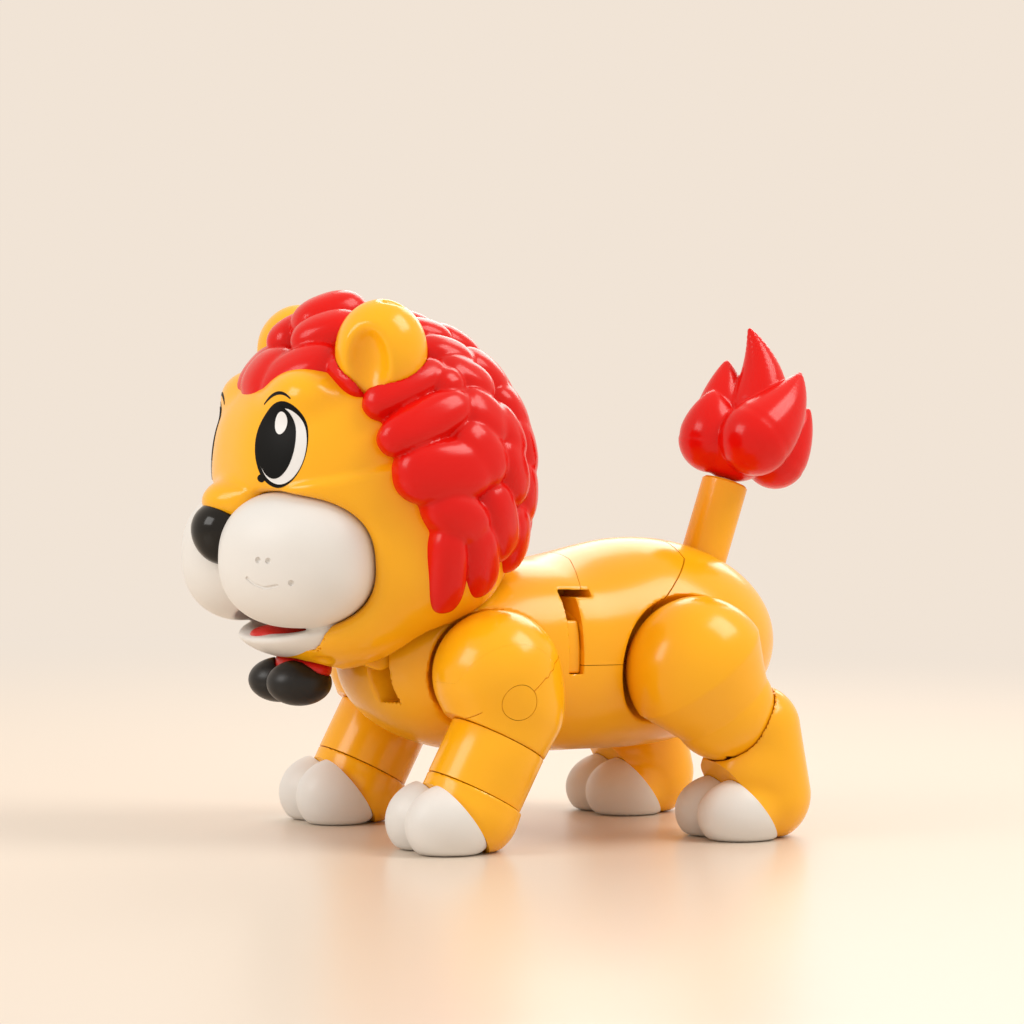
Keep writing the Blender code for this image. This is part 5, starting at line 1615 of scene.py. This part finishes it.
    def mane_form(self) -> Form:
        """Mane of rounded locks on a cap behind the face.

        Returns:
            The solid.
        """
        angle = math.radians(self.mane_tilt)
        front = side_of((0.0, self.mane_front, self.mane[2]), (0.0, -math.cos(angle), -math.sin(angle)))
        cap = egg(self.mane, tuple(radius - self.cap_below for radius in self.mane_radii))
        cap = cap.keep(front, edge=1.5)
        locks = cluster([self.lock_lobe(lock) for lock in MANE_LOCKS], soft=0.7).paired(soft=0.7)
        leg = self.torso.front
        bulb = egg(leg.shoulder, (leg.bulb + self.bulb_clear,) * 3).both_sides()
        ears = egg(self.ear, self.ear_radii).both_sides()
        trunk = self.torso.body().grow(self.clear)
        rooms = [self.face_form().grow(-self.sunk), ears, self.neck_room(), trunk, bulb]
        return cap.blend(locks, soft=0.7).carve(*rooms, edge=0.4)

    def build(self) -> None:
        """Every piece of the head."""
        face = self.face_form()
        inner = face.grow(-self.sunk)
        pocket = self.helmet.pocket()
        nose = mould("nose_moulding", self.nose_form(), ["nose"], step=0.35)
        muzzle_form = self.muzzle_form().carve(inner).carve(pocket, edge=0.4)
        muzzle = mould("muzzle_moulding", muzzle_form, ["muzzle"], step=0.5)
        self.mark_muzzle(muzzle)
        trim(muzzle, nose, Cut.AWAY, spare=True)
        tongue = mould("tongue_moulding", self.tongue_form(), ["tongue"], step=0.3, margin=2.0)
        ear = mould("ear_moulding_left", self.ear_form().carve(inner), ["ear_left"], step=0.4)
        mane = mould("mane_moulding", self.mane_form(), ["mane"], step=0.55, margin=5.0)
        far_ear = mirror_of(ear, "far_ear")
        for made in (ear, far_ear):
            trim(mane, made, Cut.AWAY, spare=True)
        made = mould("face_moulding", self.hollowed(face, pocket), ["face_shell"], step=0.55)
        for other in (muzzle, nose, tongue, ear, far_ear, mane):
            trim(made, other, Cut.AWAY, spare=other is not far_ear)
        dress(made, YELLOW, "head", "face_shell")
        dress(muzzle, WHITE, "head", "muzzle")
        dress(nose, GLOSS_BLACK, "head", "nose")
        dress(tongue, SATIN_RED, "head", "tongue")
        dress_pair(ear, YELLOW, "head", "ear_{}")
        dress(mane, RED, "head", "mane")
        Eyes(face).build()

    def hollowed(self, face: Form, pocket: Form) -> Form:
        """The face with room for the neck, mouth, helmet, lip and yoke.

        Args:
            face: The whole face.
            pocket: Room for the helmet.

        Returns:
            The solid.
        """
        x, y, z = self.mouth
        cavity = egg((x, y + self.cavity_back, z), self.mouth_radii)
        nook = block(self.nook_low, self.nook_high, edge=2.4).both_sides()
        trunk = self.torso.body().grow(self.trunk_gap).turned(self.yoke.nod, self.yoke.swing)
        lip_room = self.lip_egg().grow(self.lip_gap).keep(side_of((0.0, 0.0, self.lip_seam), DOWN))
        skull = face.carve(self.neck_room(), cavity, edge=0.8)
        skull = skull.carve(pocket, nook, lip_room, trunk, edge=0.6)
        return skull.carve(self.yoke.arm(self.yoke_gap).both_sides(), edge=0.3)

    def nose_form(self) -> Form:
        """Nose: a rounded, slightly three-cornered button."""
        return egg(self.nose, self.nose_radii).blend(egg(self.nose_foot, self.nose_foot_radii), soft=4.0)

    def tongue_form(self) -> Form:
        """Tongue with a shallow groove along its middle."""
        groove = taper(*self.groove, self.groove_radius, self.groove_radius)
        return egg(self.tongue, self.tongue_radii).carve(groove, edge=1.2)

    def mark_muzzle(self, muzzle: Piece) -> None:
        """Whisker dimples and a small curved crease on each cheek.

        Args:
            muzzle: The muzzle, which is cut.
        """
        cheek = self.cheek_form()

        def onto(spot: Triple) -> Triple:
            """Move a place onto the cheek's skin.

            Args:
                spot: A place close to the skin.

            Returns:
                The place on the skin.
            """
            here = np.array([spot])
            away = (here[0] - self.cheek) / np.array(self.cheek_radii) ** 2
            for _ in range(20):
                here = here - away / np.linalg.norm(away) * cheek(here)[:, None]
            return tuple(here[0])

        marks = [egg(onto(dot), (self.dimple_radius,) * 3) for dot in self.dimples]
        crease = [onto(spot) for spot in self.crease]
        marks += [taper(a, b, self.crease_radius, self.crease_radius) for a, b in zip(crease, crease[1:])]
        form = marks[0].blend(*marks[1:])
        tool = Moulder(form, self.marks_low, self.marks_high, step=0.2).mesh("whisker_marks")
        for cutter in (tool, mirror_of(tool, "far_whisker_marks")):
            trim(muzzle, cutter, Cut.AWAY)


@dataclass
class Eyes:
    """Printed eyes and brows that follow the face."""

    face: Form
    centre: Triple = (19.3, -68.4, 93.0)
    rim: Pair = (7.3, 9.9)
    white: Pair = (6.5, 8.7)
    white_shift: Pair = (0.55, -0.45)
    pupil: Pair = (5.3, 8.3)
    pupil_shift: Pair = (-0.9, 0.4)
    glint: Pair = (1.7, 2.6)
    glint_shift: Pair = (0.1, 4.9)
    corner: Pair = (1.2, 0.9)
    corner_shift: Pair = (-4.8, -7.8)
    brow: tuple[Pair, ...] = ((-6.4, 9.4), (-3.8, 11.2), (-0.6, 11.8), (2.6, 10.4))
    brow_half: float = 0.42
    brow_end: float = 0.12
    facing: Triple = (0.56, -0.82, 0.12)
    start_off: float = 12.0
    rounds: int = 60
    pace: float = 0.8
    bedded: float = -0.3
    rings: int = 10
    corners: int = 56
    fuller: float = 0.05

    def axes(self) -> tuple[np.ndarray, np.ndarray, np.ndarray]:
        """Directions at the left eye.

        Returns:
            Across, up and out.
        """
        out = np.array(self.facing) / np.linalg.norm(self.facing)
        across = np.cross(UP, out)
        across = across / np.linalg.norm(across)
        return across, np.cross(out, across), out

    def lay(self, spots: np.ndarray, lift: float) -> np.ndarray:
        """Lay flat spots onto the face.

        Args:
            spots: (across, up) places round the eye's centre.
            lift: How far they stand off the face.

        Returns:
            Points that follow the face.
        """
        across, up, out = self.axes()
        start = np.array(self.centre) + spots[:, :1] * across + spots[:, 1:] * up + out * self.start_off
        for _ in range(self.rounds):
            start = start - out * np.maximum(self.face(start) - lift, -1.0)[:, None] * self.pace
        return start

    def patch(self, name: str, outline: np.ndarray, lift: float, finish: Finish) -> None:
        """A thin printed patch with its mirror image.

        Args:
            name: Name of the patch, without its side.
            outline: (across, up) corners in order.
            lift: How far the print stands off the face.
            finish: Its finish.
        """
        middle = outline.mean(axis=0)
        count, shares = len(outline), np.linspace(1.0, 1 / self.rings, self.rings)
        rings = [middle + (outline - middle) * share for share in shares]
        spots = np.concatenate([*rings, middle[None]])
        points = np.concatenate([self.lay(spots, lift), self.lay(spots, self.bedded)])
        under = len(spots)
        skin: list[tuple[int, ...]] = []
        for k in range(count):
            n = (k + 1) % count
            for ring in range(self.rings - 1):
                low, high = ring * count, (ring + 1) * count
                skin.append((low + k, low + n, high + n, high + k))
            inner = (self.rings - 1) * count
            skin.append((inner + k, inner + n, under - 1))
        walls = [((k + 1) % count, k, under + k, under + (k + 1) % count) for k in range(count)]
        faces = [*skin, *(tuple(under + spot for spot in face[::-1]) for face in skin), *walls]
        dress_pair(sharpen(mesh_object(f"{name}_left", points, faces)), finish, "head")

    def oval(self, size: Pair, shift: Pair) -> np.ndarray:
        """Outline of an upright oval, a little fuller at its top.

        Args:
            size: Half width and half height.
            shift: Its middle.

        Returns:
            Its corners.
        """
        angle = np.arange(self.corners) * math.tau / self.corners
        wide = size[0] * (1.0 + self.fuller * np.sin(angle))
        return np.stack([wide * np.cos(angle) + shift[0], size[1] * np.sin(angle) + shift[1]], axis=1)

    def brow_line(self) -> np.ndarray:
        """Outline of the thin arched brow, tapered to both ends.

        Returns:
            Its lower side, then its upper side reversed.
        """
        knots = np.array(self.brow)
        thirds, share = np.linspace(0.0, 1.0, len(knots)), np.linspace(0.0, 1.0, 15)
        curves = [np.polyfit(thirds, knots[:, k], 3) for k in (0, 1)]
        spots = np.stack([np.polyval(curve, share) for curve in curves], axis=1)
        slope = np.gradient(spots, axis=0)
        side = np.stack([-slope[:, 1], slope[:, 0]], axis=1) / np.linalg.norm(slope, axis=1)[:, None]
        swell = np.sin(np.pi * (self.brow_end + (1 - 2 * self.brow_end) * share))
        half = (self.brow_half * swell)[:, None]
        return np.concatenate([spots - side * half, (spots + side * half)[::-1]])

    def build(self) -> None:
        """Both eyes and brows, each print a little above the one that it covers."""
        for name, size, shift, lift, finish in (
            ("eye_rim", self.rim, (0.0, 0.0), 0.06, PRINT_BLACK),
            ("eye_corner", self.corner, self.corner_shift, 0.08, PRINT_BLACK),
            ("eye_white", self.white, self.white_shift, 0.14, PRINT_WHITE),
            ("eye_pupil", self.pupil, self.pupil_shift, 0.22, PRINT_BLACK),
            ("eye_glint", self.glint, self.glint_shift, 0.30, PRINT_WHITE),
        ):
            self.patch(name, self.oval(size, shift), lift, finish)
        self.strip("brow_line", self.brow_line(), lift=0.06)

    def strip(self, name: str, outline: np.ndarray, lift: float) -> None:
        """A thin printed stroke with its mirror image.

        Args:
            name: Name of the stroke, without its side.
            outline: Its lower side followed by its upper side reversed.
            lift: How far the print stands off the face.
        """
        count = len(outline)
        half = count // 2
        points = np.concatenate([self.lay(outline, lift), self.lay(outline, self.bedded)])
        faces: list[tuple[int, ...]] = []
        for k in range(half - 1):
            top = (k, k + 1, count - 2 - k, count - 1 - k)
            faces.append(top)
            faces.append(tuple(corner + count for corner in reversed(top)))
        for k in range(count):
            n = (k + 1) % count
            faces.append((n, k, k + count, n + count))
        dress_pair(sharpen(mesh_object(f"{name}_left", points, faces)), PRINT_BLACK, "head")


@dataclass
class FoldedHelmet:
    """Two black lobes and a red band, folded up under the chin."""

    pin: Triple = (0.0, -51.0, 44.5)
    lobe: Triple = (5.7, -57.4, 37.4)
    lobe_radii: Triple = (6.9, 7.8, 5.4)
    band: Triple = (0.0, -54.4, 40.6)
    band_radii: Triple = (11.2, 6.0, 4.4)
    knuckle: float = 2.6
    pin_hole: float = 1.3
    swing: float = 20.0
    pocket_gap: float = 0.5
    band_gap: float = 0.1

    def lobes(self) -> Form:
        """Both lobes, with a groove between them.

        Returns:
            The solid.
        """
        left = egg(self.lobe, self.lobe_radii)
        right = egg((-self.lobe[0], *self.lobe[1:]), self.lobe_radii)
        return left.blend(right, soft=0.8)

    def stripe(self) -> Form:
        """Red band with its hinge knuckle.

        Returns:
            The solid.
        """
        _, y, z = self.pin
        reach = self.band_radii[0] / 2
        hinge = rod((-reach, y, z), (reach, y, z), self.knuckle)
        return egg(self.band, self.band_radii).blend(hinge, soft=0.6)

    def pocket(self) -> Form:
        """Room under the chin for the helmet through its swing."""
        whole = self.lobes().blend(self.stripe()).grow(self.pocket_gap)
        return whole.blend(whole.turned(self.pin, self.swing / 2), whole.turned(self.pin, self.swing))

    def build(self) -> None:
        """Lobes and band."""
        band = self.stripe()
        lobes = self.lobes().carve(band.grow(self.band_gap), edge=0.2)
        _, y, z = self.pin
        stripe = band.carve(rod((-FAR, y, z), (FAR, y, z), self.pin_hole), edge=0.1)
        body = "folded_helmet"
        dress(mould("helmet_lobes", lobes, ["helmet"], step=0.4), SATIN_BLACK, body, "helmet")
        dress(mould("helmet_stripe", stripe, ["helmet_band"], step=0.35), SATIN_RED, body, "helmet_band")


@dataclass(frozen=True)
class Flame:
    """One flame of the tuft, as (turn, distance from the axis, height) of its foot and its tip."""

    foot: Triple
    tip: Triple
    radius: float
    belly: float = 1.5


FLAMES = (
    Flame((0.0, 9.0, -1.6), (46.0, 10.8, 17.6), 9.3),
    Flame((-110.0, 6.2, -3.8), (-100.0, 9.5, 7.2), 8.4),
    Flame((-135.0, 5.7, 3.6), (-135.0, 8.3, 16.4), 6.6, 1.0),
    Flame((-117.0, -2.8, 6.0), (-117.0, 4.6, 25.4), 7.8, -0.4),
    Flame((75.0, 10.6, -3.2), (72.0, 15.2, 10.4), 8.0, 2.4),
    Flame((148.0, 8.6, -2.2), (162.0, 10.0, 14.0), 8.6),
    Flame((205.0, 7.4, -2.4), (214.0, 9.0, 10.0), 7.6),
)


@dataclass
class Tail:
    """Leaning rod with a flame-shaped tuft."""

    base: Triple = (0.0, 54.2, 69.5)
    lean: float = 17.4
    radius: float = 5.8
    root: float = 12.0
    length: float = 16.5
    crown: float = 29.5
    edge: float = 0.5
    links: int = 15
    lead: float = 0.8
    fade: Pair = (1.3, 0.95)
    tip_radius: float = 0.7
    heart_rise: float = -3.0
    heart_radii: Triple = (10.0, 10.0, 9.6)
    tuft_lap: float = 0.6
    tuft_gap: float = 0.15

    def axis(self) -> np.ndarray:
        """Direction of the tail, up and back."""
        angle = math.radians(self.lean)
        return np.array((0.0, math.sin(angle), math.cos(angle)))

    def spot(self, degrees: float, out: float, rise: float) -> np.ndarray:
        """A place round the tail's axis.

        Args:
            degrees: Turn round the axis, from the lion's left.
            out: Distance from the axis.
            rise: Height above the crown.

        Returns:
            The place.
        """
        axis = self.axis()
        across = np.array(LEFT)
        turn = math.radians(degrees)
        side = across * math.cos(turn) + np.cross(axis, across) * math.sin(turn)
        return np.array(self.base) + axis * (self.crown + rise) + side * out

    def flame(self, tongue: Flame) -> Form:
        """One flame of the tuft: a round foot that narrows into a curved tip.

        Args:
            tongue: Its places and size.

        Returns:
            The solid.
        """
        foot, tip = self.spot(*tongue.foot), self.spot(*tongue.tip)
        turn = tongue.foot[0] + self.lead * (tongue.tip[0] - tongue.foot[0])
        knee = self.spot(turn, tongue.foot[1] + tongue.belly, (tongue.foot[2] + tongue.tip[2]) * 0.5)
        shares = np.linspace(0.0, 1.0, self.links)
        spots = [tuple((1 - t) ** 2 * foot + 2 * t * (1 - t) * knee + t * t * tip) for t in shares]
        early, late = self.fade
        sizes = [tongue.radius * (1 - t**early) ** late + self.tip_radius * t for t in shares]
        links = [taper(*ends, *radii) for ends, radii in zip(zip(spots, spots[1:]), zip(sizes, sizes[1:]))]
        return links[0].blend(*links[1:], soft=0.1)

    def tuft_form(self) -> Form:
        """All flames with a rounded heart that closes round the rod."""
        heart = egg(tuple(self.spot(0.0, 0.0, self.heart_rise)), self.heart_radii)
        return heart.blend(*(self.flame(tongue) for tongue in FLAMES), soft=0.5)

    def build(self) -> None:
        """Rod and tuft."""
        base, axis = np.array(self.base), self.axis()
        radius, edge, height = self.radius, self.edge, self.root + self.length
        start = tuple(base - axis * self.root)
        profile = [
            (0.0, 0.0), (radius - edge, 0.0), (radius, edge), (radius, height / 2), (radius, height - edge),
            (radius - edge, height), (0.0, height),
        ]
        dress(lathe("tail_stem", start, tuple(axis), profile), YELLOW, "tail", "tail_rod")
        top = tuple(base + axis * (self.length + self.tuft_lap))
        whole = self.tuft_form().carve(rod(start, top, radius + self.tuft_gap))
        dress(mould("tail_flame", whole, ["tail_tuft"], step=0.5, margin=5.0), RED, "tail", "tail_tuft")


@dataclass
class InnerWorks:
    """Frame nodes that stay as they are and only get their finish."""

    metal: tuple[str, ...] = ("axle", "screw", "knee_pin", "helmet_pin")
    rubber: tuple[str, ...] = ("washer",)

    def build(self) -> None:
        """Finish every node that still shows."""
        for name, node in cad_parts.items():
            finish = FRAME_GREY
            if any(word in name for word in self.metal):
                finish = STEEL
            if any(word in name for word in self.rubber):
                finish = WASHER
            node.data.materials.clear()
            node.data.materials.append(finish.material())


@dataclass(frozen=True)
class Lamp:
    """A square soft lamp: its place and side in millimetres, its power in watts and its colour."""

    name: str
    place: Triple
    size: float
    power: float
    colour: Triple


@dataclass
class Studio:
    """Camera, lamps, floor and sky."""

    azimuth: float = 64.0
    elevation: float = 1.3
    distance: float = 827.0
    lens: float = 120.0
    look: Triple = (0.0, 0.0, 77.4)
    roll: float = 0.9
    sky: Triple = (0.88, 0.775, 0.67)
    floor: Triple = (0.74, 0.63, 0.52)
    floor_radius: float = 4000.0
    floor_roughness: float = 0.28
    fade: Pair = (0.16, 0.75)
    light: Triple = (1.0, 0.97, 0.93)
    strength: float = 0.72
    sensor: float = 36.0
    clip: float = 0.01
    lamps: tuple[Lamp, ...] = (
        Lamp("key", (430.0, 560.0, 940.0), 546.0, 6.6, (1.0, 0.97, 0.92)),
        Lamp("window", (60.0, -720.0, 430.0), 380.0, 2.4, (1.0, 0.98, 0.95)),
        Lamp("rear", (-520.0, 420.0, 520.0), 500.0, 2.6, (1.0, 0.96, 0.90)),
    )

    def place_camera(self) -> None:
        """Camera at the photograph's angle."""
        turn, rise = math.radians(self.azimuth), math.radians(self.elevation)
        back = Vector((math.sin(turn) * math.cos(rise), -math.cos(turn) * math.cos(rise), math.sin(rise)))
        right = (-back).cross(Vector(UP)).normalized()
        axes = Matrix((right, back.cross(right), back)).transposed()
        axes = axes @ Matrix.Rotation(math.radians(self.roll), 3, "Z")
        camera = bpy.data.objects.new("camera", bpy.data.cameras.new("camera"))
        camera.data.lens = self.lens
        camera.data.sensor_width = self.sensor
        camera.data.clip_start = self.clip
        place = (Vector(self.look) + back * self.distance) * MM
        camera.matrix_world = Matrix.Translation(place) @ axes.to_4x4()
        bpy.context.scene.collection.objects.link(camera)
        bpy.context.scene.camera = camera

    def add_lamp(self, lamp: Lamp) -> None:
        """Put a lamp into the scene, aimed at the lion.

        Args:
            lamp: The lamp.
        """
        data = bpy.data.lights.new(lamp.name, "AREA")
        data.size, data.energy, data.color = lamp.size * MM, lamp.power, lamp.colour
        made = bpy.data.objects.new(lamp.name, data)
        place = Vector(lamp.place)
        made.location = place * MM
        made.rotation_euler = (place - Vector(self.look)).to_track_quat("Z", "Y").to_euler()
        bpy.context.scene.collection.objects.link(made)

    def build_floor(self) -> None:
        """Round pale floor that fades into the sky with distance."""
        angle = np.arange(FINE_SIDES) * math.tau / FINE_SIDES
        rim = np.stack([np.cos(angle), np.sin(angle), 0 * angle], axis=1) * self.floor_radius
        floor = mesh_object("floor", rim, [range(FINE_SIDES)])
        made = bpy.data.materials.new("pale_floor")
        made.use_nodes = True
        tree = made.node_tree
        shader = preset(tree.nodes["Principled BSDF"], {
            "Roughness": self.floor_roughness, "Base Color": (*self.floor, 1.0),
        })
        far = preset(add_node(tree, "Emission"), {"Color": (*self.sky, 1.0)})
        length = add_node(tree, "VectorMath", operation="LENGTH")
        near, end = self.fade
        fade = preset(
            add_node(tree, "MapRange", interpolation_type="SMOOTHSTEP"), {"From Min": near, "From Max": end}
        )
        mix = add_node(tree, "MixShader")
        wire(
            tree,
            (add_node(tree, "TexCoord"), "Object", length, 0), (length, "Value", fade, "Value"),
            (fade, "Result", mix, "Fac"), (shader, "BSDF", mix, 1), (far, "Emission", mix, 2),
            (mix, "Shader", tree.nodes["Material Output"], "Surface"),
        )
        floor.data.materials.append(made)

    def build_sky(self) -> None:
        """Pale sky for the camera and reflections, with a plainer level of light from it."""
        world = bpy.data.worlds.new("studio")
        world.use_nodes = True
        tree = world.node_tree
        lit = preset(tree.nodes["Background"], {"Color": (*self.light, 1.0), "Strength": self.strength})
        seen = preset(add_node(tree, "Background"), {"Color": (*self.sky, 1.0)})
        path = add_node(tree, "LightPath")
        either, both = (add_node(tree, "Math", operation="MAXIMUM") for _ in range(2))
        mix = add_node(tree, "MixShader")
        wire(
            tree,
            (path, "Is Camera Ray", either, 0), (path, "Is Glossy Ray", either, 1),
            (either, 0, both, 0), (path, "Is Transmission Ray", both, 1), (both, 0, mix, "Fac"),
            (lit, "Background", mix, 1), (seen, "Background", mix, 2),
            (mix, "Shader", tree.nodes["World Output"], "Surface"),
        )
        bpy.context.scene.world = world

    def build(self) -> None:
        """The whole studio."""
        bpy.context.scene.view_settings.view_transform = "Standard"
        self.place_camera()
        for lamp in self.lamps:
            self.add_lamp(lamp)
        self.build_floor()
        self.build_sky()


def main() -> None:
    """Build the lion's looks and the studio."""
    logging.basicConfig(level=logging.INFO, format="%(message)s")
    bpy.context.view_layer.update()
    front, hind, yoke, helmet, tail = FrontLegs(), HindLegs(), NeckYoke(), FoldedHelmet(), Tail()
    torso = Torso(front, hind, yoke, tail)
    InnerWorks().build()
    for part in (front, hind, yoke, torso, helmet, Head(torso, yoke, helmet), tail, Studio()):
        part.build()
        LOG.info("%s built", type(part).__name__)


if __name__ == "__main__":
    main()
